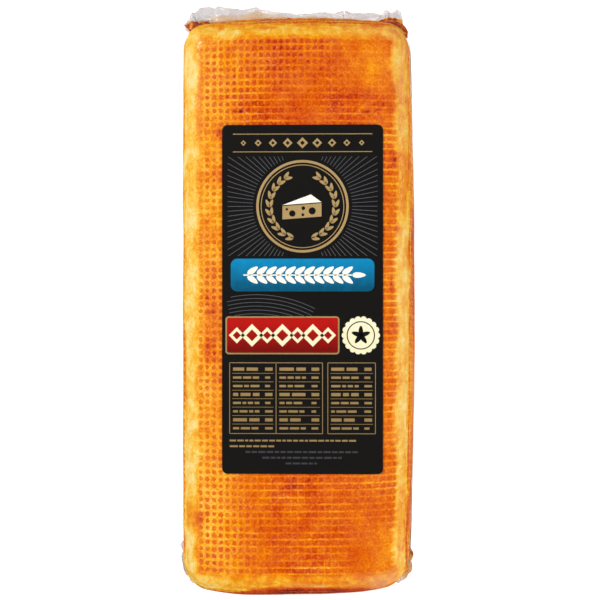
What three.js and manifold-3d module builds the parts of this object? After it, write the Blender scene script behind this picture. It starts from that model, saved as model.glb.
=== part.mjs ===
// A loaf of muenster cheese, vacuum packed in clear film, with a label on its broad upper face.
// Millimetres. X runs across the loaf, Y along it, towards the sealed end of the bag, and Z up.
// The origin is the middle of the resting face.
import * as THREE from "three";
import { mergeVertices } from "three/addons/utils/BufferGeometryUtils.js";
import Module from "manifold-3d";

const wasm = await Module();
wasm.setup();

const LOAF = {
  width: 110.5, // 4.35 in, with the swell of both side walls
  length: 278, // 10.9 in, with the bow of both ends
  height: 86,
  edgeRise: 12, // how far a rounded edge runs down from a broad face
  corner: 11, // radius of the upright corners and of the edges, seen from above
  leftSwell: 0.6, // how far the middle of the left wall stands out past its ends
  rightSwell: 3,
  // An end's middle stands out past its corners by its bow. The power says how flat the middle is, and
  // the skew how much less the right half stands out.
  sealedEnd: { bow: 3.8, power: 2, skew: 0 },
  plainEnd: { bow: 8.5, power: 4, skew: 1.5 },
  widestAt: 38, // height at which a soft loaf has settled to its widest
  edgeShare: 0.35, // share of the swell and bow that the upper and lower edges still have
};

// The bag's welded seam, a stiff fin of film across the end wall.
const FIN = {
  height: 47, // of its middle above the resting face
  left: -56.5,
  right: 50,
  film: 1.2, // two crumpled layers
  root: 3, // how deep it starts inside the end wall
  ripple: 1.5, // how far it waves up and down
  waves: 4.5,
  lean: 2.5, // how far its free edge droops
  // Past the end's corners, at equal steps from left to right.
  reach: [4.5, 12.2, 11.3, 11, 10.9, 9.1, 8.7, 9.4, 10.4, 8.8, 9, 3.4],
};

// The folded corners of the bag at its other end, one lump of film at each upright corner of the loaf.
// A span is where it lies: 0 to 1 is the turn from the side wall to the end wall, and below 0 the side wall.
const EAR = {
  top: 72,
  bottom: 40,
  leftSpan: [-0.6, 0.5],
  rightSpan: [0, 0.85],
  proud: 3.2, // how far its middle stands off the wall
  tuck: 0.5, // how far its rim lies inside the wall
  root: 2, // how deep it starts
  hollow: 0.45, // share that its upper and lower rims stand lower
};

const LABEL = {
  width: 76.2, // 3 in
  length: 165.1, // 6.5 in
  thick: 0.3,
  cornerRadius: 2.7,
  gap: 0.05,
  middle: [2.6, 4.7], // of the label on the upper face
};

const halfWidth = (LOAF.width - LOAF.leftSwell - LOAF.rightSwell) / 2;
const halfLength = (LOAF.length - LOAF.sealedEnd.bow - LOAF.plainEnd.bow) / 2;
// These keep the swollen loaf centred.
const shift = (LOAF.leftSwell - LOAF.rightSwell) / 2;
const slide = (LOAF.plainEnd.bow - LOAF.sealedEnd.bow) / 2;

// How much of the swell a wall has at a height: all of it where it is widest, a share at its edges.
function swellAt(z) {
  const reach = z > LOAF.widestAt ? LOAF.height - LOAF.widestAt : LOAF.widestAt;
  const away = (z - LOAF.widestAt) / reach;
  return LOAF.edgeShare + (1 - LOAF.edgeShare) * (1 - away * away);
}

// Moves a point of the plain rounded block to its place on the settled loaf.
function settle(p) {
  const across = p.x / halfWidth;
  const along = p.y / halfLength;
  const swell = across > 0 ? LOAF.rightSwell : LOAF.leftSwell;
  const end = along > 0 ? LOAF.sealedEnd : LOAF.plainEnd;
  const stand = end.bow * (1 - Math.abs(across) ** end.power) - end.skew * across;
  const rise = swellAt(p.z);
  p.x += across * swell * Math.max(0, 1 - along * along) * rise + shift;
  p.y += along * stand * rise + slide;
  return p;
}

// Places along one side of a block of half size half: equal steps on the flat, equal angles round the edge.
function stations(half, radius, flatSteps, edgeSteps) {
  const flat = half - radius;
  const edge = [];
  for (let i = 1; i <= edgeSteps; i++) {
    edge.push(flat + radius * Math.tan((Math.PI / 4) * (i / edgeSteps)));
  }
  const middle = [];
  for (let i = 0; i <= flatSteps; i++) {
    middle.push(-flat + (2 * flat * i) / flatSteps);
  }
  return [...edge.map((s) => -s).reverse(), ...middle, ...edge];
}

const clamp = THREE.MathUtils.clamp;

// Turns a mesh with merged vertices into a solid, and back.
function toSolid(geometry) {
  const bare = geometry.clone();
  bare.deleteAttribute("normal");
  bare.deleteAttribute("uv");
  const merged = mergeVertices(bare, 1e-4);
  return new wasm.Manifold(
    new wasm.Mesh({
      numProp: 3,
      vertProperties: merged.attributes.position.array,
      triVerts: new Uint32Array(merged.index.array),
    }),
  );
}

function toGeometry(solid) {
  const mesh = solid.getMesh();
  const geometry = new THREE.BufferGeometry();
  geometry.setAttribute("position", new THREE.BufferAttribute(mesh.vertProperties, 3));
  geometry.setIndex(new THREE.BufferAttribute(mesh.triVerts, 1));
  geometry.computeVertexNormals();
  return geometry;
}

// A box of unit steps whose vertices are sent where place(u, v, w) says, each from 0 to 1.
function bentBox(stepsU, stepsV, stepsW, place) {
  const geometry = new THREE.BoxGeometry(1, 1, 1, stepsU, stepsV, stepsW);
  const position = geometry.attributes.position;
  for (let i = 0; i < position.count; i++) {
    const p = place(position.getX(i) + 0.5, position.getY(i) + 0.5, position.getZ(i) + 0.5);
    position.setXYZ(i, p.x, p.y, p.z);
  }
  return geometry;
}

function loafGeometry() {
  const half = new THREE.Vector3(halfWidth, halfLength, LOAF.height / 2);
  const radius = new THREE.Vector3(LOAF.corner, LOAF.corner, LOAF.edgeRise);
  const x = stations(half.x, radius.x, 10, 3);
  const y = stations(half.y, radius.y, 18, 3);
  const z = stations(half.z, radius.z, 5, 3);
  const at = (list, t) => list[Math.round(t * (list.length - 1))];
  return bentBox(x.length - 1, y.length - 1, z.length - 1, (u, v, w) => {
    const p = new THREE.Vector3(at(x, u), at(y, v), at(z, w));
    const core = new THREE.Vector3(
      clamp(p.x, radius.x - half.x, half.x - radius.x),
      clamp(p.y, radius.y - half.y, half.y - radius.y),
      clamp(p.z, radius.z - half.z, half.z - radius.z),
    );
    const out = p.sub(core).divide(radius).normalize().multiply(radius);
    const onBlock = core.add(out);
    onBlock.z += half.z;
    return settle(onBlock);
  });
}

// The end wall at the fin's height: how far it stands along Y at a place across the loaf.
function endWall(x) {
  const radius = LOAF.corner;
  const round = clamp(Math.abs(x - shift) - (halfWidth - radius), 0, radius);
  const back = radius - Math.sqrt(radius ** 2 - round ** 2);
  return settle(new THREE.Vector3(x - shift, halfLength - back, FIN.height)).y;
}

function finGeometry() {
  const edge = new THREE.SplineCurve(
    FIN.reach.map((reach, i) => new THREE.Vector2(i / (FIN.reach.length - 1), reach)),
  );
  return bentBox(44, 3, 1, (u, v, w) => {
    const x = THREE.MathUtils.lerp(FIN.left, FIN.right, u);
    const freeEdge = halfLength + slide + edge.getPoint(u).y;
    const y = THREE.MathUtils.lerp(endWall(x) - FIN.root, freeEdge, v);
    const wave = FIN.ripple * v * Math.sin(2 * Math.PI * FIN.waves * u);
    const z = FIN.height + wave - FIN.lean * v * v + FIN.film * (w - 0.5);
    return new THREE.Vector3(x, y, z);
  });
}

// A flap of film that lies round the upright corner on one side: side is -1 for left and 1 for right.
function earGeometry(side) {
  const radius = LOAF.corner;
  const middle = (EAR.top + EAR.bottom) / 2;
  const [start, end] = side < 0 ? EAR.leftSpan : EAR.rightSpan;
  return bentBox(16, 1, 4, (u, v, w) => {
    const along = THREE.MathUtils.lerp(start, end, u);
    const turn = clamp(along, 0, 1) * (Math.PI / 2);
    const straight = Math.min(along, 0) * radius;
    const rise = side < 0 ? 1 - w : w;
    const z = THREE.MathUtils.lerp(EAR.bottom, EAR.top, rise);
    const arch = Math.sqrt(Math.sin(Math.PI * u)) * (1 - EAR.hollow * (2 * rise - 1) ** 2);
    const off = THREE.MathUtils.lerp(-EAR.root, EAR.proud * arch - EAR.tuck, v);
    const wall = settle(
      new THREE.Vector3(
        side * (halfWidth - radius + radius * Math.cos(turn)),
        -(halfLength - radius + radius * Math.sin(turn)) - straight,
        middle,
      ),
    );
    return new THREE.Vector3(
      wall.x + side * off * Math.cos(turn),
      wall.y - off * Math.sin(turn),
      z,
    );
  });
}

function vacuumPack() {
  let solid = toSolid(loafGeometry()).add(toSolid(finGeometry()));
  for (const side of [-1, 1]) {
    solid = solid.add(toSolid(earGeometry(side)));
  }
  const rind = new THREE.MeshStandardMaterial({
    color: 0xe8851f,
    roughness: 0.35,
    metalness: 0,
  });
  const mesh = new THREE.Mesh(toGeometry(solid), rind);
  mesh.name = "vacuum_pack";
  return mesh;
}

function label() {
  const x = LABEL.width / 2;
  const y = LABEL.length / 2;
  const r = LABEL.cornerRadius;
  const outline = new THREE.Shape()
    .moveTo(x, r - y)
    .lineTo(x, y - r)
    .absarc(x - r, y - r, r, 0, Math.PI / 2)
    .lineTo(r - x, y)
    .absarc(r - x, y - r, r, Math.PI / 2, Math.PI)
    .lineTo(-x, r - y)
    .absarc(r - x, r - y, r, Math.PI, Math.PI * 1.5)
    .lineTo(x - r, -y)
    .absarc(x - r, r - y, r, Math.PI * 1.5, Math.PI * 2);
  const geometry = new THREE.ExtrudeGeometry(outline, {
    depth: LABEL.thick,
    bevelEnabled: false,
    curveSegments: 8,
  });
  const paper = new THREE.MeshStandardMaterial({
    color: 0x1c1b1b,
    roughness: 0.55,
    metalness: 0,
  });
  const mesh = new THREE.Mesh(geometry, paper);
  mesh.name = "label";
  mesh.position.set(LABEL.middle[0], LABEL.middle[1], LOAF.height + LABEL.gap);
  return mesh;
}

const cheese = new THREE.Group();
cheese.add(vacuumPack(), label());

export default cheese;
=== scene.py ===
"""A muenster loaf in a clear vacuum bag, with a printed label on its broad upper face.

Blender objects are in metres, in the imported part's frame: X runs across the loaf, Y along it towards
the sealed end of the bag, Z up, and the origin is the middle of the resting face.
"""
import itertools
import logging
import math
from collections import defaultdict
from collections.abc import Iterable
from dataclasses import dataclass, field
from enum import Enum

import bmesh
import bpy
import numpy as np
from mathutils import Matrix, Vector, noise


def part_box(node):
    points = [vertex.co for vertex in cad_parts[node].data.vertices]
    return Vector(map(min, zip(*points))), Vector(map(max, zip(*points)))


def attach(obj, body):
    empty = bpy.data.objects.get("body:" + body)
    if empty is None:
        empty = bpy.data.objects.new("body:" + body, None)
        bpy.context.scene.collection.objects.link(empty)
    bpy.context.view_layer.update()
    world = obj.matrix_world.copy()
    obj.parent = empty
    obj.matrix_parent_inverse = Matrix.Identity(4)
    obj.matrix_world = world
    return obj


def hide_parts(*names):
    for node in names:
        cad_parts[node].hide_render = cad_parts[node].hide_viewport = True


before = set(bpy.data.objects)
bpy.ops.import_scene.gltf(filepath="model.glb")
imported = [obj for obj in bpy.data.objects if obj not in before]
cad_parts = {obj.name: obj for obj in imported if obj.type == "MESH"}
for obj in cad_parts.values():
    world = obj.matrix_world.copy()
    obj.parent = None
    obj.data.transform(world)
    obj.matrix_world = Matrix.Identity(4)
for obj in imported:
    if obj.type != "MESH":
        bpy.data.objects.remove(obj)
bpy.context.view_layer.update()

LOG = logging.getLogger("cheese")
MM = 0.001
PACK = "vacuum_pack"
LABEL = "label"
FILM_SLOT = "clear_film"

# What each vertex of the rind holds: the mean dye, how strongly the dots show, how far they run
# together, how worn the skin is, how milky, partly with painted sheen, and how streaked, partly
# with painted glints.
RIND_MARKS = ("dye", "imprint", "merge", "wear", "milk_and_sheen", "streak_and_glint")

# A map range's soft start and end, and a colour mix's two inputs and its output.
SOFT = {"interpolation_type": "SMOOTHSTEP"}
MIX_FIRST, MIX_SECOND, MIXED = 6, 7, 2

Socket = bpy.types.NodeSocket
Sizes = tuple[float, float, float]
Pair = tuple[float, float]


# Small helpers


def linear(colour: str) -> tuple[float, float, float, float]:
    """Turns an sRGB hex colour into linear light.

    Args:
        colour: such as "#e8851f".

    Returns:
        Red, green, blue and an alpha of 1.
    """
    channels = [int(colour[i : i + 2], 16) / 255 for i in (1, 3, 5)]
    light = [c / 12.92 if c <= 0.04045 else ((c + 0.055) / 1.055) ** 2.4 for c in channels]
    return (light[0], light[1], light[2], 1.0)


def smooth(value: np.ndarray, low: float, high: float) -> np.ndarray:
    """Rises smoothly from 0 at low to 1 at high, or falls where low is the larger.

    Args:
        value: any numbers.
        low: where the result is 0.
        high: where the result is 1.

    Returns:
        One number from 0 to 1 for each value.
    """
    t = np.clip((value - low) / (high - low), 0.0, 1.0)
    return t * t * (3.0 - 2.0 * t)


def ripple(points: np.ndarray, grain: Sizes, seed: float) -> np.ndarray:
    """Smooth noise at points.

    Args:
        points: one row of x, y and z for each point.
        grain: the size of the noise's lumps along each axis.
        seed: a shift that makes one noise unlike another.

    Returns:
        One number from about -1 to 1 for each point.
    """
    places = points / np.array(grain) + seed
    return np.array([noise.noise(Vector(place)) for place in places])


def per(sizes: Sizes) -> Sizes:
    """The scale of a mapping that makes a noise's lumps as large as these sizes."""
    return tuple(1 / size for size in sizes)


def around(middle: Pair, radius: float, angle: float) -> Pair:
    """The point of a circle at an angle in radians."""
    return (middle[0] + radius * math.cos(angle), middle[1] + radius * math.sin(angle))


def ridges(points: np.ndarray, grain: Sizes, seed: float) -> np.ndarray:
    """Noise with sharp crests, like pleats: 1 on a crest and towards 0 between them."""
    return (1.0 - np.abs(ripple(points, grain, seed))) ** 4


class ShaderNodes:
    """The nodes of a material or of the room's air."""

    def __init__(self, owner: bpy.types.Material | bpy.types.World) -> None:
        """Starts with no nodes.

        Args:
            owner: the new material or world.
        """
        owner.use_nodes = True
        self.owner = owner
        self.tree = owner.node_tree
        self.tree.nodes.clear()

    def add(
        self,
        kind: str,
        *sources: Socket | float | tuple | None,
        named: dict | None = None,
        out: int | str = 0,
        stops: tuple = (),
        **settings: object,
    ) -> Socket | None:
        """Adds a node with its settings and links.

        Args:
            kind: the node's type, without ShaderNode.
            sources: what goes into its inputs in turn, sockets or values, or None to pass one over.
            named: the same for inputs by name or number.
            out: the output to return.
            stops: for a colour ramp, pairs of a place and a hex colour, the two ends first.
            settings: the node's own properties.

        Returns:
            The output socket, or None where the node has no outputs.
        """
        node = self.tree.nodes.new(f"ShaderNode{kind}")
        for name, value in settings.items():
            setattr(node, name, value)
        for socket, source in (*enumerate(sources), *(named or {}).items()):
            if isinstance(source, Socket):
                self.tree.links.new(source, node.inputs[socket])
            elif source is not None:
                node.inputs[socket].default_value = source
        for i, (place, colour) in enumerate(stops):
            elements = node.color_ramp.elements
            stop = elements[i] if i < 2 else elements.new(place)
            stop.position = place
            stop.color = linear(colour)
        return node.outputs[out] if len(node.outputs) else None

    def join(self, kind: str, sources: Iterable[Socket | float], **settings: object) -> Socket:
        """Joins several sources by a row of nodes, each fed by the last one and the next source.

        Args:
            kind: the nodes' type, without ShaderNode.
            sources: what is joined, in turn.
            settings: the nodes' own properties.

        Returns:
            The last node's output.
        """
        joined, *others = sources
        for source in others:
            joined = self.add(kind, joined, source, **settings)
        return joined

    def lines(self, noise: Socket, width: float) -> Socket:
        """Draws thin lines where a noise from 0 to 1 passes its middle.

        Args:
            noise: the noise.
            width: how far from its middle a line ends.

        Returns:
            1 on a line and 0 away from it.
        """
        away = self.add("Math", noise, 0.5, operation="SUBTRACT")
        away = self.add("Math", away, operation="ABSOLUTE")
        return self.add("MapRange", away, width, 0.0, **SOFT)

    def dress(
        self, surface: Socket, output: str = "OutputMaterial"
    ) -> bpy.types.Material | bpy.types.World:
        """Ends the nodes with what they all lead to, and returns their owner."""
        self.add(output, surface)
        return self.owner


class FinishNodes(ShaderNodes):
    """The nodes of a finish, which read where the surface is and what its vertices hold."""

    def __init__(self, name: str, marks: tuple[str, ...] = ()) -> None:
        """Starts a material.

        Args:
            name: the material's name.
            marks: the numbers on the vertices that it reads.
        """
        super().__init__(bpy.data.materials.new(name))
        self.place = self.add("TexCoord", out="Object")
        self.mark = {mark: self.add("Attribute", attribute_name=mark, out="Fac") for mark in marks}


@dataclass(frozen=True)
class Mottling:
    """Unevenness in lumps of a real size."""

    size: float
    strength: float
    seed: float
    # How many times longer the lumps are along each axis.
    stretch: Sizes = (1, 1, 1)

    def lay(self, nodes: FinishNodes) -> Socket:
        """Adds its nodes to a finish.

        Args:
            nodes: the finish's nodes.

        Returns:
            A number around 0, that reaches up to half the strength either way.
        """
        scale = tuple(1 / (self.size * s) for s in self.stretch)
        spread = nodes.add("Mapping", nodes.place, (self.seed, self.seed, self.seed), None, scale)
        lumps = nodes.add("TexNoise", spread, named={"Scale": 1.0, "Detail": 3.0, "Roughness": 0.6})
        return nodes.add("Math", lumps, self.strength, -self.strength / 2, operation="MULTIPLY_ADD")


def to_mesh(bm: bmesh.types.BMesh, name: str, soft: bool = True) -> bpy.types.Mesh:
    """Ends a bmesh.

    Args:
        bm: the bmesh, which is freed.
        name: the mesh's name.
        soft: whether its shading is smooth.

    Returns:
        The mesh.
    """
    mesh = bpy.data.meshes.new(name)
    bm.to_mesh(mesh)
    bm.free()
    if soft:
        mesh.shade_smooth()
    return mesh


def coordinates(mesh: bpy.types.Mesh) -> np.ndarray:
    """Reads a mesh's points.

    Args:
        mesh: the mesh.

    Returns:
        One row of x, y and z for each vertex.
    """
    flat = np.empty(len(mesh.vertices) * 3)
    mesh.vertices.foreach_get("co", flat)
    return flat.reshape(-1, 3)


def add_values(mesh: bpy.types.Mesh, values: dict[str, np.ndarray]) -> None:
    """Gives each vertex numbers that materials can read.

    Args:
        mesh: the mesh.
        values: for each name, one number for each vertex.
    """
    for name, numbers in values.items():
        attribute = mesh.attributes.new(name, "FLOAT", "POINT")
        attribute.data.foreach_set("value", numbers.astype(np.float32))


def add_piece(
    mesh: bpy.types.Mesh, material: bpy.types.Material, slot: str, node: str | None = None
) -> None:
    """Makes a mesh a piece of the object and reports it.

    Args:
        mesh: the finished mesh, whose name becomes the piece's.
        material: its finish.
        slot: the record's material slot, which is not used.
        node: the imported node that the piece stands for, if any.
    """
    mesh.materials.append(material)
    piece = bpy.data.objects.new(mesh.name, mesh)
    bpy.context.scene.collection.objects.link(piece)
    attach(piece, "root")
    if node:
        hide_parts(node)
    LOG.info("%s: %d faces", piece.name, len(mesh.polygons))


# The loaf's form, which the cheese and the film share


@dataclass(frozen=True)
class EndForm:
    """How an end wall stands out past its corners: its bow, how flat its middle is, and its skew."""

    bow: float
    power: float
    skew: float


@dataclass(frozen=True)
class LoafForm:
    """The settled loaf out to the outside of the film: a rounded block that swells towards its middle."""

    width: float = 111.2 * MM
    length: float = 278 * MM
    height: float = 86 * MM
    edge_rise: float = 12 * MM
    corner: float = 11 * MM
    left_swell: float = 0.6 * MM
    right_swell: float = 3 * MM
    sealed_end: EndForm = EndForm(3.8 * MM, 2, 0)
    plain_end: EndForm = EndForm(8.5 * MM, 4, 1.5 * MM)
    widest_at: float = 38 * MM
    edge_share: float = 0.35

    @property
    def half(self) -> np.ndarray:
        """Half the size of the plain block, before it swells.

        Returns:
            Half the width, length and height.
        """
        across = self.width - self.left_swell - self.right_swell
        along = self.length - self.sealed_end.bow - self.plain_end.bow
        return np.array((across, along, self.height)) / 2

    @property
    def radius(self) -> np.ndarray:
        """The rounding's radius along each axis."""
        return np.array((self.corner, self.corner, self.edge_rise))

    @property
    def middle(self) -> np.ndarray:
        """The shift that keeps the swollen loaf centred on the resting face.

        Returns:
            The shift along each axis.
        """
        across = (self.left_swell - self.right_swell) / 2
        along = (self.plain_end.bow - self.sealed_end.bow) / 2
        return np.array((across, along, self.height / 2))

    def settle(self, points: np.ndarray) -> np.ndarray:
        """Moves points of the plain rounded block, centred on the origin, to the swollen loaf.

        Args:
            points: one row of x, y and z for each point.

        Returns:
            The points on the loaf.
        """
        across = points[:, 0] / self.half[0]
        along = points[:, 1] / self.half[1]
        up = points[:, 2] + self.height / 2
        reach = np.where(up > self.widest_at, self.height - self.widest_at, self.widest_at)
        away = (up - self.widest_at) / reach
        rise = self.edge_share + (1 - self.edge_share) * (1 - away**2)
        swell = np.where(across > 0, self.right_swell, self.left_swell)
        stands = [
            end.bow * (1 - np.abs(across) ** end.power) - end.skew * across
            for end in (self.sealed_end, self.plain_end)
        ]
        stand = np.where(along > 0, stands[0], stands[1])
        settled = points + self.middle
        settled[:, 0] += across * swell * np.maximum(0, 1 - along**2) * rise
        settled[:, 1] += along * stand * rise
        return settled

    def skin(self, block: np.ndarray, outward: np.ndarray) -> np.ndarray:
        """Rounds and swells points of the sharp block.

        Args:
            block: points on the sharp block, centred on the origin.
            outward: how far each then stands off the rounded surface.

        Returns:
            The points on the loaf.
        """
        core = np.clip(block, self.radius - self.half, self.half - self.radius)
        out = (block - core) / self.radius
        out *= self.radius / np.linalg.norm(out, axis=1, keepdims=True)
        normal = out / self.radius**2
        normal /= np.linalg.norm(normal, axis=1, keepdims=True)
        return self.settle(core + out + normal * outward[:, None])

    def wall(self, place: Pair, height: float) -> Vector:
        """The point of the upright walls that is nearest to a place outside them.

        Args:
            place: x and y.
            height: the point's height.

        Returns:
            The point on the wall.
        """
        flat = np.array((*place, height)) - self.middle
        core = np.clip(flat, self.radius - self.half, self.half - self.radius)
        core[2] = flat[2]
        out = flat - core
        point = core + out / np.linalg.norm(out) * self.corner
        return Vector(self.settle(point[None, :])[0])

    def lumps(self, block: np.ndarray) -> np.ndarray:
        """How far the loaf's surface stands off its even form, as soft cheese does.

        Args:
            block: points on the sharp block.

        Returns:
            A distance for each point, below 0 where the surface lies in.
        """
        broad = smooth(np.abs(block[:, 2]), self.half[2] * 0.8, self.half[2])
        flat = smooth(np.max(np.abs(block[:, :2]) / self.half[:2], axis=1), 1.0, 0.75) * broad
        slow = ripple(block, (34 * MM, 45 * MM, 34 * MM), 3.1)
        quick = ripple(block, (13 * MM, 17 * MM, 13 * MM), 8.7)
        at_seam = smooth(block[:, 1] / self.half[1], 0.97, 1.0) * (1 - broad)
        return (-slow * 0.28 - quick * 0.22 + 0.6 * at_seam) * MM * (1 - 0.85 * flat)


@dataclass(frozen=True)
class Stations:
    """Where a grid's lines lie along one axis: on the sharp block, and measured along the skin."""

    block: np.ndarray
    along_skin: np.ndarray
    flat: float

    @classmethod
    def spread(cls, half: float, radius: float, steps: int, angles: np.ndarray) -> "Stations":
        """Equal steps on the flat, and given angles round each edge.

        Args:
            half: half the block's size on this axis.
            radius: the rounding's radius.
            steps: how many steps the flat has.
            angles: rising angles round an edge, the last of 45 degrees.

        Returns:
            The stations, from the lowest to the highest.
        """
        flat = half - radius
        middle = np.linspace(-flat, flat, steps + 1)
        sharp = flat + radius * np.tan(angles)
        rounded = flat + radius * angles
        block = np.concatenate((-sharp[::-1], middle, sharp))
        along_skin = np.concatenate((-rounded[::-1], middle, rounded))
        return cls(block, along_skin, flat)


class SkinGrid:
    """A box of quads laid over the loaf, which knows where each vertex lies on the skin."""

    def __init__(self, form: LoafForm, name: str, stations: list[Stations]) -> None:
        """Builds the box, still sharp.

        Args:
            form: the loaf's form.
            name: the mesh's name.
            stations: where the grid's lines lie on each axis.
        """
        self.form = form
        self.stations = stations
        counts = [len(s.block) - 1 for s in stations]
        bm = bmesh.new()
        bmesh.ops.create_cube(bm, size=1.0)
        for axis, count in enumerate(counts):
            edges = [e for e in bm.edges if abs((e.verts[1].co - e.verts[0].co)[axis]) > 0.5]
            bmesh.ops.subdivide_edges(bm, edges=edges, cuts=count - 1, use_grid_fill=True)
        self.mesh = to_mesh(bm, name)
        index = np.rint((coordinates(self.mesh) + 0.5) * counts).astype(int)
        self.block = np.stack([s.block[index[:, i]] for i, s in enumerate(stations)], axis=1)
        self.on_skin = np.stack([s.along_skin[index[:, i]] for i, s in enumerate(stations)], axis=1)
        ends = np.array([s.along_skin[-1] for s in stations])
        self.to_edges = ends - np.abs(self.on_skin)

    @property
    def inset(self) -> np.ndarray:
        """How far each vertex lies from the nearest rounded edge's middle, along the skin."""
        return np.sort(self.to_edges, axis=1)[:, 1]

    @property
    def faces_way(self) -> np.ndarray:
        """The axis that each vertex faces along, 0, 1 or 2."""
        return np.argmin(self.to_edges, axis=1)

    def add_map(self, name: str, pitch: np.ndarray) -> np.ndarray:
        """Adds a flat map of each face of the loaf.

        Args:
            name: the map's name.
            pitch: the map's unit along each axis.

        Returns:
            Where each vertex lies along each axis, in that unit.
        """
        measure = (self.on_skin + np.array([s.flat for s in self.stations])) / pitch
        mesh = self.mesh
        sides = np.empty(len(mesh.polygons) * 3)
        mesh.polygons.foreach_get("normal", sides)
        axis = np.repeat(np.argmax(np.abs(sides.reshape(-1, 3)), axis=1), 4)
        corner = np.empty(len(mesh.loops), int)
        mesh.loops.foreach_get("vertex_index", corner)
        first = np.where(axis == 0, 1, 0)
        second = np.where(axis == 2, 1, 2)
        pairs = np.stack((measure[corner, first], measure[corner, second]), axis=1)
        mesh.uv_layers.new(name=name).data.foreach_set("uv", pairs.ravel())
        return measure

    def shape(self, outward: np.ndarray) -> np.ndarray:
        """Lays the grid over the loaf, each vertex standing off by its own distance.

        Args:
            outward: the distance for each vertex.

        Returns:
            The vertices' points.
        """
        points = self.form.skin(self.block, outward)
        self.mesh.vertices.foreach_set("co", points.ravel())
        self.mesh.update()
        return points


# Finishes of the food and the film


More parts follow.
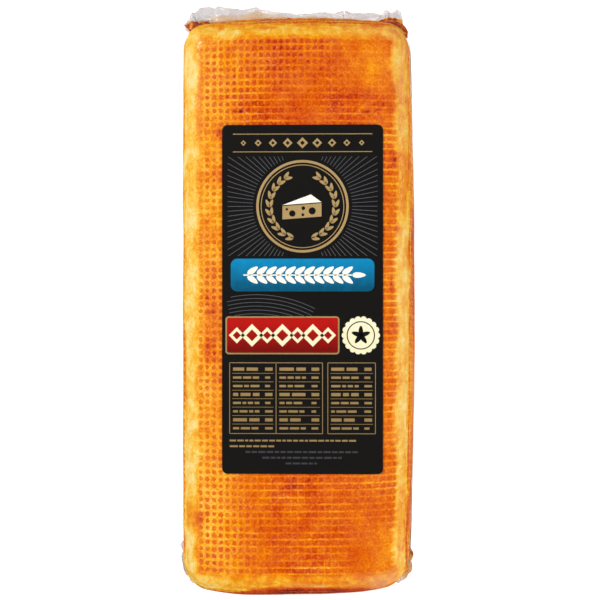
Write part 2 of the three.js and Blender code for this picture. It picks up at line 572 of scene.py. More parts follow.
@dataclass(frozen=True)
class AnnattoRind:
    """The skin of a young muenster, dyed with annatto: moist and blotched, and pale where it wore off."""

    # From undyed paste to the darkest dye, the two ends first. The last tone is a dye of 1.25.
    tones: tuple[tuple[float, str], ...] = (
        (0.0, "#fadd8e"),
        (1.0, "#5e0e07"),
        (0.12, "#f9c953"),
        (0.24, "#f6b224"),
        (0.34, "#f1970a"),
        (0.44, "#ea8006"),
        (0.54, "#e06a09"),
        (0.64, "#d75606"),
        (0.73, "#ca430a"),
        (0.80, "#b93109"),
    )
    full_dye: float = 1.25
    # Milky fat and air between the rind and the film; the same colour also paints the film's sheen
    # where it catches light.
    milk_and_sheen: str = "#f6d3b0"

    # Where edges start and end, in dots from a dot's middle: a round dot's, its pale rim's inner and
    # outer ones, and those of the bright lines between rows and columns and of the dashes beside them.
    dot_edge: Pair = (0.45, 0.31)
    rim_inside: Pair = (0.31, 0.40)
    rim_outside: Pair = (0.56, 0.46)
    row_edge: Pair = (0.26, 0.46)
    column_edge: Pair = (0.34, 0.48)
    dash_edge: Pair = (0.16, 0.30)
    # How bright the lines are: one row's line from the least to the most, and every column's.
    row_bright: Pair = (0.70, 1.55)
    column_bright: float = 0.52
    # How bright a row's line stays where it fades, and how bright it grows where it doesn't, as shares.
    line_fade: Pair = (0.78, 1.25)
    # How strongly a dot shows, from the faintest to the strongest, the mean of all the dots, which is
    # taken off so that they leave the mean dye as it is, and how much smaller chance makes a dot.
    dot_depth: Pair = (0.22, 0.44)
    dot_mean: float = 0.45
    dot_shrink: float = 0.08
    # The dye that a dash, a crack and a speck add, and the share of the grain left on worn skin.
    dash_dye: float = 0.30
    crack_dye: float = 0.13
    speck_dye: float = 0.20
    rubbed_grain: float = 0.5
    # How milky a dot's rim is, and the share of it lost where the dots run together.
    rim_bloom: float = 0.24
    rim_lost: float = 0.6

    # The dots' ragged edges and broken rims, how the bright lines fade, and the dashes along them.
    ragged: tuple[Mottling, ...] = (
        Mottling(0.9 * MM, 0.42, 5.0),
        Mottling(2.6 * MM, 0.30, 15.0),
    )
    broken: Mottling = Mottling(1.6 * MM, 3.0, 25.0)
    faint: Mottling = Mottling(7 * MM, 1.0, 95.0, (2.2, 0.5, 1.0))
    dashes: Mottling = Mottling(1.3 * MM, 3.0, 105.0, (2.4, 0.8, 1.0))
    # Uneven dye: its grain, its blotches from small to large, its specks and its streaks.
    grain: Mottling = Mottling(1.0 * MM, 0.75, 4.0)
    blotches: tuple[Mottling, ...] = (
        Mottling(5.5 * MM, 0.45, 3.0),
        Mottling(11 * MM, 0.42, 85.0),
        Mottling(22 * MM, 0.25, 2.0),
    )
    specks: Mottling = Mottling(1.5 * MM, 1.0, 45.0, (2.0, 1.0, 1.0))
    streaks: Mottling = Mottling(1.6 * MM, 3.0, 55.0, (7.0, 7.0, 1.0))
    # Worn skin is cloudy, and dye stays in its fine cracks, which show only here and there.
    clouds: Mottling = Mottling(2.6 * MM, 0.54, 75.0, (1.0, 1.7, 1.0))
    cracked: Mottling = Mottling(6.0 * MM, 1.0, 35.0)
    # How far apart the cracks are, how far they bend and in lumps of what size, and how far from its
    # middle a crack ends, as a share of the first.
    crack_pitch: float = 4.0 * MM
    crack_bend: float = 3.0 * MM
    crack_warp: float = 3.5 * MM
    crack_width: float = 0.14
    # Unevenness of the milk and the painted sheen.
    veiled: Mottling = Mottling(9 * MM, 0.08, 65.0)

    def material(self) -> bpy.types.Material:
        """Builds the finish: how much dye each spot holds, turned to a colour.

        Returns:
            The material.
        """
        nodes = FinishNodes("annatto_dyed_rind", RIND_MARKS)
        add = nodes.add
        mark = nodes.mark
        dot, rim, dashes, depth = self.mould_dots(nodes)
        rubbed = add("MapRange", mark["wear"], 0.0, 1.0, 1.0, self.rubbed_grain)
        grain = add("Math", self.grain.lay(nodes), rubbed, operation="MULTIPLY")
        streaks = self.streaks.lay(nodes)
        specks = add("MapRange", self.specks.lay(nodes), 0.20, 0.27)
        weighed = (
            (add("Math", dot, -self.dot_mean, operation="ADD"), depth),
            (dashes, self.dash_dye),
            (self.cracks(nodes), self.crack_dye),
            (self.clouds.lay(nodes), mark["wear"]),
            (specks, self.speck_dye),
            (streaks, mark["streak_and_glint"]),
        )
        parts = (
            mark["dye"],
            grain,
            *(lumps.lay(nodes) for lumps in self.blotches),
            *(add("Math", part, weight, operation="MULTIPLY") for part, weight in weighed),
        )
        dye = nodes.join("Math", parts, operation="ADD")
        colour = add("ValToRGB", add("Math", dye, self.full_dye, operation="DIVIDE"), stops=self.tones)
        pair = {MIX_FIRST: colour, MIX_SECOND: linear(self.milk_and_sheen)}
        colour = add("Mix", self.veil(nodes, rim, streaks), named=pair, out=MIXED, data_type="RGBA")
        pressed = add("Math", dot, mark["imprint"], operation="MULTIPLY")
        relief = add("Math", grain, pressed, operation="SUBTRACT")
        surface = {
            "Base Color": colour,
            "Roughness": 0.5,
            "Specular IOR Level": 0.0,
            "Subsurface Weight": 0.08,
            "Subsurface Radius": (1.0, 0.45, 0.15),
            "Subsurface Scale": 1.0 * MM,
            "Normal": add("Bump", named={"Strength": 0.3, "Distance": 0.12 * MM, "Height": relief}),
        }
        return nodes.dress(add("BsdfPrincipled", named=surface))

    def mould_dots(self, nodes: FinishNodes) -> tuple[Socket, ...]:
        """Draws the mould's dots, round at the left, and square where they run together in rows.

        Args:
            nodes: the finish's nodes.

        Returns:
            The dots, their rims, the dashes of dye between their rows, and how strongly each dot shows.
        """
        add = nodes.add
        merge = nodes.mark["merge"]
        imprint = nodes.mark["imprint"]
        mould = add("UVMap", uv_map="mould")
        cell = add("VectorMath", mould, operation="FRACTION")
        centred = add("VectorMath", cell, (0.5, 0.5, 0.0), operation="SUBTRACT")
        number = add("VectorMath", mould, operation="FLOOR")
        chance = add("TexWhiteNoise", number, noise_dimensions="3D", out="Value")
        ragged = nodes.join("Math", [lumps.lay(nodes) for lumps in self.ragged], operation="ADD")
        far = add("VectorMath", centred, operation="LENGTH", out="Value")
        far = add("Math", far, ragged, operation="ADD")
        far = add("Math", chance, self.dot_shrink, far, operation="MULTIPLY_ADD")
        round_dot = add("MapRange", far, *self.dot_edge, **SOFT)

        # Each row's line is as bright as chance has it, and fades here and there.
        offset = add("SeparateXYZ", add("VectorMath", centred, operation="ABSOLUTE"))
        across = add("Math", offset, ragged, operation="ADD")
        row = add("Math", offset.node.outputs["Y"], ragged, operation="ADD")
        stripe = add("CombineXYZ", 0.5, add("SeparateXYZ", number, out="Y"), 0.5)
        bright = add("TexWhiteNoise", stripe, noise_dimensions="3D", out="Value")
        bright = add("MapRange", bright, 0.0, 1.0, *self.row_bright)
        faint = add("MapRange", self.faint.lay(nodes), -0.16, 0.16, *self.line_fade)
        bright = add("Math", bright, faint, operation="MULTIPLY")
        row_line = add("MapRange", row, *self.row_edge, **SOFT)
        row_line = add("Math", row_line, bright, operation="MULTIPLY")
        column_line = add("MapRange", across, *self.column_edge, 0.0, self.column_bright, **SOFT)
        line = add("Math", row_line, column_line, operation="MAXIMUM")
        square = add("Math", 1.0, line, operation="SUBTRACT")
        dot = add("Mix", merge, None, round_dot, square)

        # Dye gathered in short dashes along the bright lines between the rows.
        dashes = add("MapRange", self.dashes.lay(nodes), 0.28, 0.60)
        by_line = add("MapRange", row, *self.dash_edge, **SOFT)
        shares = (dashes, by_line, square, merge, imprint)
        dashes = nodes.join("Math", shares, operation="MULTIPLY", use_clamp=True)
        inner, outer = (add("MapRange", far, *edge, **SOFT) for edge in (self.rim_inside, self.rim_outside))
        rim = add("Math", inner, outer, operation="MULTIPLY")
        rim = add("Math", self.broken.lay(nodes), rim, operation="MULTIPLY")
        rim = add("MapRange", rim, 0.0, 0.5)
        depth = add("MapRange", chance, 0.0, 1.0, *self.dot_depth)
        return dot, rim, dashes, add("Math", depth, imprint, operation="MULTIPLY")

    def cracks(self, nodes: FinishNodes) -> Socket:
        """Draws a bent net of fine cracks in the worn skin.

        Args:
            nodes: the finish's nodes.

        Returns:
            1 in a crack and 0 away from it.
        """
        add = nodes.add
        warp = add("TexNoise", nodes.place, named={"Scale": 1 / self.crack_warp, "Detail": 3.0}, out="Color")
        bend = (self.crack_bend, self.crack_bend, self.crack_bend)
        bent = add("VectorMath", warp, bend, nodes.place, operation="MULTIPLY_ADD")
        scale = {"Scale": 1 / self.crack_pitch}
        net = add("TexVoronoi", bent, named=scale, feature="DISTANCE_TO_EDGE")
        crack = add("MapRange", net, self.crack_width, 0.0, **SOFT)
        some = add("MapRange", self.cracked.lay(nodes), -0.12, 0.12, 0.1, 1.0)
        return nodes.join("Math", (crack, some, nodes.mark["wear"]), operation="MULTIPLY")

    def veil(self, nodes: FinishNodes, rim: Socket, streaks: Socket) -> Socket:
        """Works out how much the milk and the painted sheen hide, which is most on the dots' rims.

        Args:
            nodes: the finish's nodes.
            rim: where the dots' rims are.
            streaks: the dye's streaks, which the milk and the painted glints follow.

        Returns:
            A share from 0 to 1.
        """
        add = nodes.add
        mark = nodes.mark
        alone = add("Math", mark["merge"], -self.rim_lost, 1.0, operation="MULTIPLY_ADD")
        on_rim = nodes.join("Math", (rim, mark["imprint"], alone), operation="MULTIPLY")
        # Milky streaks and the milk mark: along the right edge and the sealed end's edge partly painted
        # glints, and over the plain end's dark band a painted highlight line.
        milky = add("Math", streaks, 0.5, operation="MULTIPLY", use_clamp=True)
        milky = add("Math", milky, mark["streak_and_glint"], mark["milk_and_sheen"], operation="MULTIPLY_ADD")
        veil = add("Math", on_rim, self.rim_bloom, milky, operation="MULTIPLY_ADD")
        return add("Math", veil, self.veiled.lay(nodes), operation="ADD", use_clamp=True)


@dataclass(frozen=True)
class BarrierFilm:
    """Clear coextruded bag film, shrunk on: nearly unseen where it lies tight on the moist rind."""

    clearness: float = 0.98
    # Its roughness where it is smooth and where it is creased.
    roughness: Pair = (0.25, 0.10)
    # How much it mirrors seen straight on, and how much more when seen along it.
    mirror: float = 0.036
    rim: float = 0.12
    # What its folded layers add where it is creased.
    layered: float = 0.05
    # The sizes of its crumples, of its level creases, and of the fine pulls along the long edges.
    crumple: float = 2.2 * MM
    fold: Sizes = (22 * MM, 22 * MM, 3.4 * MM)
    pull: Sizes = (1.3 * MM, 14 * MM, 1.3 * MM)
    # How wide a crease is, in the noise that it follows, and how much higher it stands than a crumple.
    fold_width: float = 0.10
    fold_height: float = 3.0

    def material(self) -> bpy.types.Material:
        """Builds the finish: clear, with a film's gloss that small creases break up.

        Returns:
            The material.
        """
        nodes = FinishNodes("clear_barrier_film", ("crease", "pull"))
        add = nodes.add
        creased = nodes.mark["crease"]
        crumple = add("TexNoise", nodes.place, named={"Scale": 1 / self.crumple, "Detail": 3.0})
        crumpled = add("MapRange", creased, 0.0, 0.6, 0.06, 1.0)
        crumple = add("Math", crumple, crumpled, operation="MULTIPLY")

        # Long creases run level round the walls, where the bag had more film than it needed.
        level = add("Mapping", nodes.place, None, None, per(self.fold))
        bent = {"Scale": 1.0, "Detail": 2.0, "Roughness": 0.6, "Distortion": 0.8}
        folds = nodes.lines(add("TexNoise", level, named=bent), self.fold_width)
        stand = add("Math", creased, self.fold_height, operation="MULTIPLY")
        height = add("Math", folds, stand, operation="MULTIPLY")
        height = add("Math", height, crumple, operation="ADD")

        # Fine pulls run along the long upper edges.
        along_edge = add("Mapping", nodes.place, None, None, per(self.pull))
        pulls = add("TexNoise", along_edge, named={"Scale": 1.0, "Detail": 2.0, "Roughness": 0.6})
        height = add("Math", pulls, nodes.mark["pull"], height, operation="MULTIPLY_ADD")
        bump = add("Bump", named={"Strength": 0.6, "Distance": 0.2 * MM, "Height": height})
        rough = add("MapRange", creased, 0.0, 0.6, *self.roughness)
        gloss = add("BsdfGlossy", named={"Color": (1, 1, 1, 1), "Roughness": rough, "Normal": bump})
        see = add("BsdfTransparent", (self.clearness, self.clearness, self.clearness, 1.0))
        along = add("LayerWeight", 0.5, bump, out="Facing")
        mirror = add("Math", along, 4.0, operation="POWER")
        flat = add("Math", creased, self.layered, self.mirror, operation="MULTIPLY_ADD")
        mirror = add("Math", mirror, self.rim, flat, operation="MULTIPLY_ADD")
        return nodes.dress(add("MixShader", mirror, see, gloss))


@dataclass(frozen=True)
class WeldedFilm:
    """Layers of spare film, welded and crumpled: milky grey, and browned where dyed whey was caught."""

    # From clean film to the most whey, the two ends first.
    tones: tuple[tuple[float, str], ...] = (
        (0.0, "#e8e8ec"),
        (1.0, "#9c3408"),
        (0.22, "#f4e4ca"),
        (0.42, "#efbc78"),
        (0.62, "#ec9634"),
        (0.82, "#cc6018"),
    )
    # How much each sheet's side hides, clean and browned.
    hiding: Pair = (0.17, 0.80)
    # How much painted facet shade it adds: how much more its most opaque facets hide.
    facet_shade: float = 0.30
    roughness: float = 0.22
    name: str = "welded_barrier_film"
    # The sizes of the whey's spots, of the sharp creases' facets, and of the soft crumples.
    spots: float = 1.3 * MM
    drawn: Sizes = (15 * MM, 6 * MM, 15 * MM)
    crumple: float = 4.0 * MM
    # How wide a sharp crease is, in the noise that it follows, how much more it hides than the smooth
    # film, and how high it stands beside a soft crumple.
    crease_width: float = 0.022
    crease_hiding: float = 0.16
    crease_height: float = 0.4

    def material(self) -> bpy.types.Material:
        """Builds the finish: how much whey each spot holds, turned to a colour and to how much it hides.

        Returns:
            The material.
        """
        nodes = FinishNodes(self.name, ("whey",))
        add = nodes.add
        whey = nodes.mark["whey"]
        fine = {"Scale": 1 / self.spots, "Detail": 4.0, "Roughness": 0.65}
        fine = add("TexNoise", nodes.place, named=fine)
        spread = add("Math", fine, 0.5, -0.25, operation="MULTIPLY_ADD")
        patchy = add("Math", whey, 0.60, 0.06, operation="MULTIPLY_ADD")
        patchy = add("Math", patchy, 2.0, operation="MULTIPLY")
        whey = add("Math", spread, patchy, whey, operation="MULTIPLY_ADD")

        # Sharp creases catch more whey and hide more than the smooth film between them.
        drawn = add("Mapping", nodes.place, None, None, per(self.drawn))
        sharp = {"Scale": 1.0, "Detail": 2.0, "Roughness": 0.55, "Distortion": 1.8}
        creases = nodes.lines(add("TexNoise", drawn, named=sharp), self.crease_width)
        caught = add("Math", whey, 0.45, 0.06, operation="MULTIPLY_ADD")
        whey = add("Math", creases, caught, whey, operation="MULTIPLY_ADD")
        colour = add("ValToRGB", whey, stops=self.tones)
        hides = add("MapRange", whey, 0.0, 0.6, *self.hiding)
        hides = add("Math", creases, self.crease_hiding, hides, operation="MULTIPLY_ADD")

        # Painted facet shade: each facet between creases hides more or less than the next at random,
        # standing in for the light and shade of facets that lie at all angles.
        facet_pick = add("SeparateXYZ", add("TexVoronoi", drawn, named={"Scale": 1.8}, out="Color"))
        hides = add("Math", facet_pick, self.facet_shade, hides, operation="MULTIPLY_ADD", use_clamp=True)
        crumple = add("TexNoise", nodes.place, named={"Scale": 1 / self.crumple, "Detail": 2.0})
        height = add("Math", creases, self.crease_height, crumple, operation="MULTIPLY_ADD")
        surface = {
            "Base Color": colour,
            "Roughness": self.roughness,
            "IOR": 1.5,
            "Alpha": hides,
            "Normal": add("Bump", named={"Strength": 0.5, "Distance": 0.5 * MM, "Height": height}),
        }
        return nodes.dress(add("BsdfPrincipled", named=surface))


# The cheese and its film


class RindMarks:
    """What the rind's finish reads at each vertex of the loaf. Places and sizes are in mm here.

    From straight above only the upper face and the walls' tops show: patches, milk, painted sheen and
    streaks that belong to them reach down to the height UPPER.
    """

    UPPER = 60
    RESTING_DYE = 0.62
    # The dye of the plain end's dark band, partly dark whey and partly painted shade.
    WHEY_AND_SHADE_DYE = 0.92
    # The dye of two darker bands on the right wall.
    RIGHT_BAND_DYE = 0.98

    def __init__(self, form: LoafForm, grid: SkinGrid, measure: np.ndarray) -> None:
        """Finds where the vertices lie, and the unevenness that the marks share.

        Args:
            form: the loaf's form.
            grid: the loaf's grid.
            measure: where each vertex lies along each axis, in dots.
        """
        block = grid.block
        self.x, self.y, self.z = (form.skin(block, np.zeros(len(block))) / MM).T
        self.top = (grid.faces_way == 2) & (block[:, 2] > 0)
        self.wall = grid.faces_way != 2
        self.upper = self.z > self.UPPER
        self.right = smooth(self.x, 10, 40)
        self.row = measure[:, 1]
        self.from_rest = grid.to_edges[:, 2] / MM
        self.broad = ripple(block, (9 * MM, 13 * MM, 9 * MM), 1.3)
        self.slow = ripple(block, (24 * MM, 30 * MM, 24 * MM), 4.2)
        self.fine = ripple(block, (2.2 * MM, 3.0 * MM, 2.2 * MM), 6.6)

        # A wall wears less than the upper face, apart from the right one towards the sealed end.
        right_wall = (grid.faces_way == 0) & (self.x > 0)
        further = np.where(right_wall, -0.8 + 2.3 * smooth(self.y, 0, -40), 1.2)
        self.inset = grid.inset / MM + self.wall * further

        # Along the plain end the dye darkens up to a sharp line on its upper edge: partly dark whey under
        # the film, partly painted shade of a wall that faces away from the lights.
        line = 80.8 - 7 * smooth(np.abs(self.x - 3), 18, 48) + 0.8 * self.broad
        self.over_line = self.z - line
        self.at_plain_end = smooth(self.y, -130, -133)
        whey_and_shade = self.at_plain_end * smooth(self.over_line, 0.6, -0.8) * smooth(self.z + 6 * self.slow, 50, 69)
        self.whey_and_shade = whey_and_shade * smooth(np.abs(self.x), 50, 40)
        # Two stretches of the right edge stay clear of milk, streaks and their painted glints.
        self.clear = 0.8 * smooth(np.abs(self.y - 58), 28, 12) + 0.6 * smooth(np.abs(self.y + 90), 26, 10)
        self.wear = self.find_wear()

    def values(self) -> dict[str, np.ndarray]:
        """Works out all the marks.

        Returns:
            For each mark, one number for each vertex, from 0 to the dye of the last tone.
        """
        marks = (self.dye(), self.imprint(), self.merge(), self.wear, self.milk_and_sheen(), self.streak_and_glint())
        return {
            name: np.clip(numbers, 0, AnnattoRind.full_dye) for name, numbers in zip(RIND_MARKS, marks)
        }

    def find_wear(self) -> np.ndarray:
        """How worn the skin is, which is along the rounded edges, with a ragged limit.

        Returns:
            One number for each vertex.
        """
        uneven = (1.6 + 1.8 * self.wall) * self.broad + 1.1 * self.fine + 1.2 * self.right * self.slow
        uneven += 1.6 * self.broad * smooth(self.x, -30, -44) * self.top
        fingers = np.cos(2 * np.pi * (self.row - 0.5)) * self.top
        uneven += 0.55 * self.right * fingers * smooth(self.slow, -0.4, 0.3)
        wear = smooth(self.inset + uneven, 6.8 - 0.8 * self.right, 3.2 + 0.2 * self.right)
        upright = smooth(self.from_rest, 6, 18) * self.wall
        return wear * (1 - upright * (0.35 + 0.65 * smooth(self.slow, 0.25, -0.15)))

    def dye(self) -> np.ndarray:
        """How much dye the skin holds, with the whey and the painted shade that darken the plain end, and
        two darker bands on the right wall.

        Returns:
            One number for each vertex.
        """
        mean = self.mean_dye()
        dye = mean + (self.worn_dye() - mean) * self.wear
        for x, y, across, along, amount in DYE_PATCHES:
            near = np.hypot((self.x - x) / across, (self.y - y) / along)
            dye += amount * smooth(near + 0.35 * self.broad, 1.1, 0.4) * self.upper
        # Painted shade with dark whey: the plain end darkens, more so further below its line.
        whey = self.WHEY_AND_SHADE_DYE + 0.22 * smooth(self.over_line, -0.5, -8)
        dye += (whey - dye) * 0.97 * self.whey_and_shade
        return dye + (self.RIGHT_BAND_DYE - dye) * 0.8 * self.right_wall_bands()

    def mean_dye(self) -> np.ndarray:
        """The dye of unworn skin: thin at the left, thick in the middle and darker along some walls.

        Returns:
            One number for each vertex.
        """
        x, y, z = self.x, self.y, self.z
        mean = 0.48 + 0.24 * smooth(x, -42, -8) - 0.08 * smooth(x, 16, 36)
        mean += 0.05 * smooth(x, -20, -36) * smooth(y, 84, 104)
        low = 0.50 + 0.10 * self.slow + 0.12 * smooth(z, 70, 40)
        run = smooth(np.abs(z - 59 - 5 * self.broad), 13, 4)
        by_side = smooth(x, 0, 40) * smooth(y, 66, 30) + smooth(x, 0, -40) * smooth(np.abs(y - 8), 24, 8)
        low += 0.20 * run * by_side * (np.abs(y) < 126)
        return np.where(self.top, mean, np.where(self.wall, low, self.RESTING_DYE))

    def worn_dye(self) -> np.ndarray:
        """The dye that is left where the skin is worn, least at the left.

        Returns:
            One number for each vertex.
        """
        x, y = self.x, self.y
        worn = 0.09 + 0.09 * smooth(x, -10, 45)
        worn += 0.10 * smooth(x, 20, 45) * smooth(y, 30, 70)
        worn += (0.25 - worn) * smooth(y, 110, 122)
        worn += 0.12 * smooth(y, 132, 136.5)
        plain = 0.38 + 0.08 * smooth(x, -24, 2)
        return worn + (plain - worn) * smooth(y, -114, -126) * smooth(x, -46, -24) * smooth(x, 56, 44)

    def right_wall_bands(self) -> np.ndarray:
        """Two long darker bands high on the right wall, up to just under its upper edge.

        Returns:
            One number for each vertex.
        """
        along = smooth(np.abs(self.y - 15), 38, 26) + smooth(np.abs(self.y + 77), 22, 12)
        upper_end = smooth(self.z - 74 - 1.5 * self.broad, 0.8, -1.2)
        return along * upper_end * smooth(self.z + 7 * self.slow, 42, 62) * smooth(self.x, 30, 50)

    def imprint(self) -> np.ndarray:
        """How strongly the dots show: less towards the edges and near some corners of the upper face.

        Returns:
            One number for each vertex.
        """
        x, y, slow = self.x, self.y, self.slow
        start = 4.0 + (2.2 * smooth(y, 20, 60) + 2.0 * slow) * smooth(x, -30, -44) - 0.9 * self.right
        imprint = smooth(self.inset - start + 1.2 * self.broad, 0.0, 2.4) * (0.82 + 0.8 * slow)
        faded = (
            0.80 * smooth(x, 2, 28) * smooth(y, 90, 110),
            0.75 * smooth(x, 20, 34) * smooth(y, -98, -108),
            0.22 * smooth(x, -22, -36),
            0.22 * self.right,
            0.22 * smooth(x, -22, 0) * smooth(y, -86, -106),
        )
        for share in faded:
            imprint *= 1 - share * self.top
        return imprint

    def merge(self) -> np.ndarray:
        """How far the dots run together in rows, which they do from the left to the middle."""
        fewer = 0.6 * smooth(self.y, 100, 108) * self.top
        return smooth(self.x + 12 * self.slow, -36, -12) * (1 - fewer)

    def milk_and_sheen(self) -> np.ndarray:
        """How milky it is, most along the right edge, where it partly paints the film's glints, and with a
        painted highlight line over the plain end's dark band.

        Returns:
            One number for each vertex.
        """
        milk_and_sheen = 0.006 + 0.02 * smooth(self.x, -24, -44) + 0.01 * smooth(self.x, 24, 44)
        # Milk near the plain end's right corner, and along the right edge, where it also paints the film's
        # glints.
        milk = smooth(self.y, -122, -131) * smooth(self.x, 28, 42) + 0.5 * self.right * (1 - self.clear)
        milk_and_sheen += 0.16 * self.wear * milk * self.upper
        # A painted highlight: a thin pale line just over the plain end's dark band, broken here and there.
        rim = self.at_plain_end * smooth(np.abs(self.over_line - 1.2), 0.9, 0.2)
        rim *= smooth(np.abs(self.x), 34, 24)
        return milk_and_sheen + 0.5 * rim * smooth(self.slow, -0.2, 0.1)

    def streak_and_glint(self) -> np.ndarray:
        """How streaked it is, on the walls, at the sealed end's edge and along the right edge; at those two
        edges its milky streaks are partly painted glints.

        Returns:
            One number for each vertex.
        """
        walls = 0.32 * self.wall * smooth(self.inset, 0.5, 3.0) * (1 - 0.8 * self.whey_and_shade)
        # Painted glints with real streaks at the sealed end's edge and along the right edge.
        sealed = 0.34 * smooth(self.y, 130, 135) * self.upper
        edge = 0.22 * (1 - self.clear) * self.right * smooth(self.inset, 7, 3) * (self.z > 74)
        return np.maximum(walls, np.maximum(sealed, edge))


@dataclass(frozen=True)
class Cheese:
    """The loaf itself, with the dots that a perforated mould leaves on it."""

    form: LoafForm
    rind: AnnattoRind
    per_dot: int = 3
    dots: tuple[int, int, int] = (27, 75, 19)
    under_film: float = 0.2 * MM
    dot_depth: float = 0.2 * MM

    def stations(self, axis: int) -> Stations:
        """The grid's lines on one axis: three to a dot, on into the rounded edge, then a few more.

        Args:
            axis: 0, 1 or 2.

        Returns:
            The stations.
        """
        radius = self.form.radius[axis]
        half = self.form.half[axis]
        step = 2 * (half - radius) / (self.dots[axis] * self.per_dot) / radius
        fine = step * np.arange(1, 6)
        coarse = fine[-1] + (math.pi / 4 - fine[-1]) * np.arange(1, 4) / 3
        angles = np.concatenate((fine, coarse))
        return Stations.spread(half, radius, self.dots[axis] * self.per_dot, angles)

    def build(self) -> None:
        """Makes the loaf."""
        grid = SkinGrid(self.form, "cheese_loaf", [self.stations(axis) for axis in range(3)])
        pitch = 2 * (self.form.half - self.form.radius) / np.array(self.dots)
        measure = grid.add_map("mould", pitch)
        marks = RindMarks(self.form, grid, measure).values()
        ways = np.array(((1, 2), (0, 2), (0, 1)))[grid.faces_way]
        rows = np.arange(len(ways))
        cell = np.stack([measure[rows, ways[:, i]] % 1.0 - 0.5 for i in range(2)], axis=1)
        dot = smooth(np.linalg.norm(cell, axis=1), 0.45, 0.25)
        grid.shape(self.form.lumps(grid.block) - self.under_film - dot * marks["imprint"] * self.dot_depth)
        add_values(grid.mesh, marks)
        add_piece(grid.mesh, self.rind.material(), "annatto_rind", PACK)


@dataclass(frozen=True)
class BagSkin:
    """The film that lies tight on the loaf, with its pleats at the ends and pulls along the sides."""

    form: LoafForm
    film: BarrierFilm
    steps: tuple[int, int, int] = (84, 150, 72)
    seam_height: float = 47 * MM
    sealed_pleat: float = 1.2 * MM
    plain_pleat: float = 0.3 * MM
    side_pull: float = 0.5 * MM

    def build(self) -> None:
        """Makes the tight film."""
        angles = math.pi / 4 * np.arange(1, 7) / 6
        halves = zip(self.form.half, self.form.radius, self.steps)
        grid = SkinGrid(self.form, "film_bag", [Stations.spread(h, r, n, angles) for h, r, n in halves])
        grid.shape(self.form.lumps(grid.block) + self.wrinkles(grid))
        edge_ways = np.sort(np.argsort(grid.to_edges, axis=1)[:, :2], axis=1)
        on_long_edge = (edge_ways == (0, 2)).all(axis=1) & (grid.block[:, 2] > 0)
        pull = 1.8 * on_long_edge * smooth(grid.inset, 9 * MM, 4 * MM)
        pull *= smooth(grid.to_edges[:, 1], 8 * MM, 30 * MM)
        add_values(grid.mesh, {"crease": self.creases(grid), "pull": pull})
        add_piece(grid.mesh, self.film.material(), FILM_SLOT, PACK)

    def creases(self, grid: SkinGrid) -> np.ndarray:
        """How creased the film is: not at all on the broad faces, and most on the ends.

        Args:
            grid: the film's grid.

        Returns:
            One number from 0 to 1 for each vertex.
        """
        along = np.abs(grid.block[:, 1]) / self.form.half[1]
        on_wall = smooth(grid.inset, 1 * MM, 9 * MM) * (grid.faces_way != 2)
        return on_wall * (0.30 + 0.70 * smooth(along, 0.55, 0.98))

    def wrinkles(self, grid: SkinGrid) -> np.ndarray:
        """How far the film's folds stand up.

        Args:
            grid: the film's grid.

        Returns:
            A height, never below 0, for each vertex.
        """
        block = grid.block
        along = block[:, 1] / self.form.half[1]
        off_seam = np.abs(block[:, 2] + self.form.height / 2 - self.seam_height) / (self.form.height / 2)
        on_end = smooth(np.abs(along), 0.93, 1.0)
        gather = np.clip(1 - off_seam, 0, 1) ** 1.5
        pleats = ridges(block, (3.2 * MM, 60 * MM, 22 * MM), 1.7)
        tucks = ridges(block, (26 * MM, 60 * MM, 3.4 * MM), 6.3)
        pulls = ridges(block, (60 * MM, 46 * MM, 4.5 * MM), 9.9)
        sealed = self.sealed_pleat * pleats * gather * on_end * (along > 0)
        plain = self.plain_pleat * tucks * (0.3 + 0.7 * gather) * on_end * (along < 0)
        on_wall = smooth(np.abs(block[:, 0]) / self.form.half[0], 0.9, 1.0)
        sides = self.side_pull * pulls * on_wall * smooth(np.abs(along), 0.35, 0.95) * (1 - on_end)
        return sealed + plain + sides


@dataclass(frozen=True, kw_only=True)
class SpareFilm:
    """Film that stands off the loaf's walls, in sheets that start as flat grids."""

    form: LoafForm
    film: WeldedFilm
    name: str
    # Its outline seen from above, from left to right along the seam and towards the plain end at a
    # corner: x and y in mm, and a share for the whey there.
    edge: tuple[Sizes, ...]
    seed: float
    steps: tuple[int, int]
    thick: float = 0.12 * MM

    def flat_grid(self) -> tuple[bmesh.types.BMesh, np.ndarray, np.ndarray]:
        """Starts a sheet.

        Returns:
            Its bmesh, and where each vertex lies along the outline and across it, from 0 to 1.
        """
        bm = bmesh.new()
        bmesh.ops.create_grid(bm, x_segments=self.steps[0], y_segments=self.steps[1], size=0.5)
        u, w = (np.array([v.co[axis] + 0.5 for v in bm.verts]) for axis in range(2))
        return bm, u, w

    def close(
        self, bm: bmesh.types.BMesh, points: np.ndarray, whey: np.ndarray, name: str
    ) -> tuple[bpy.types.Mesh, np.ndarray]:
        """Ends a sheet and gives it its thickness.

        Args:
            bm: the sheet's bmesh, which is freed.
            points: where each vertex goes.
            whey: how much whey each vertex holds.
            name: the mesh's name.

        Returns:
            The closed mesh, and how much whey each of its vertices holds.
        """
        for vertex, point in zip(bm.verts, points):
            vertex.co = point
        bmesh.ops.solidify(bm, geom=bm.faces[:], thickness=self.thick)
        mesh = to_mesh(bm, name)
        return mesh, np.resize(np.clip(whey, 0, 1), len(mesh.vertices))

    def dress(self, mesh: bpy.types.Mesh, whey: np.ndarray) -> None:
        """Makes the finished mesh a piece.

        Args:
            mesh: the mesh.
            whey: how much whey each vertex holds.
        """
        add_values(mesh, {"whey": whey})
        add_piece(mesh, self.film.material(), FILM_SLOT, PACK)


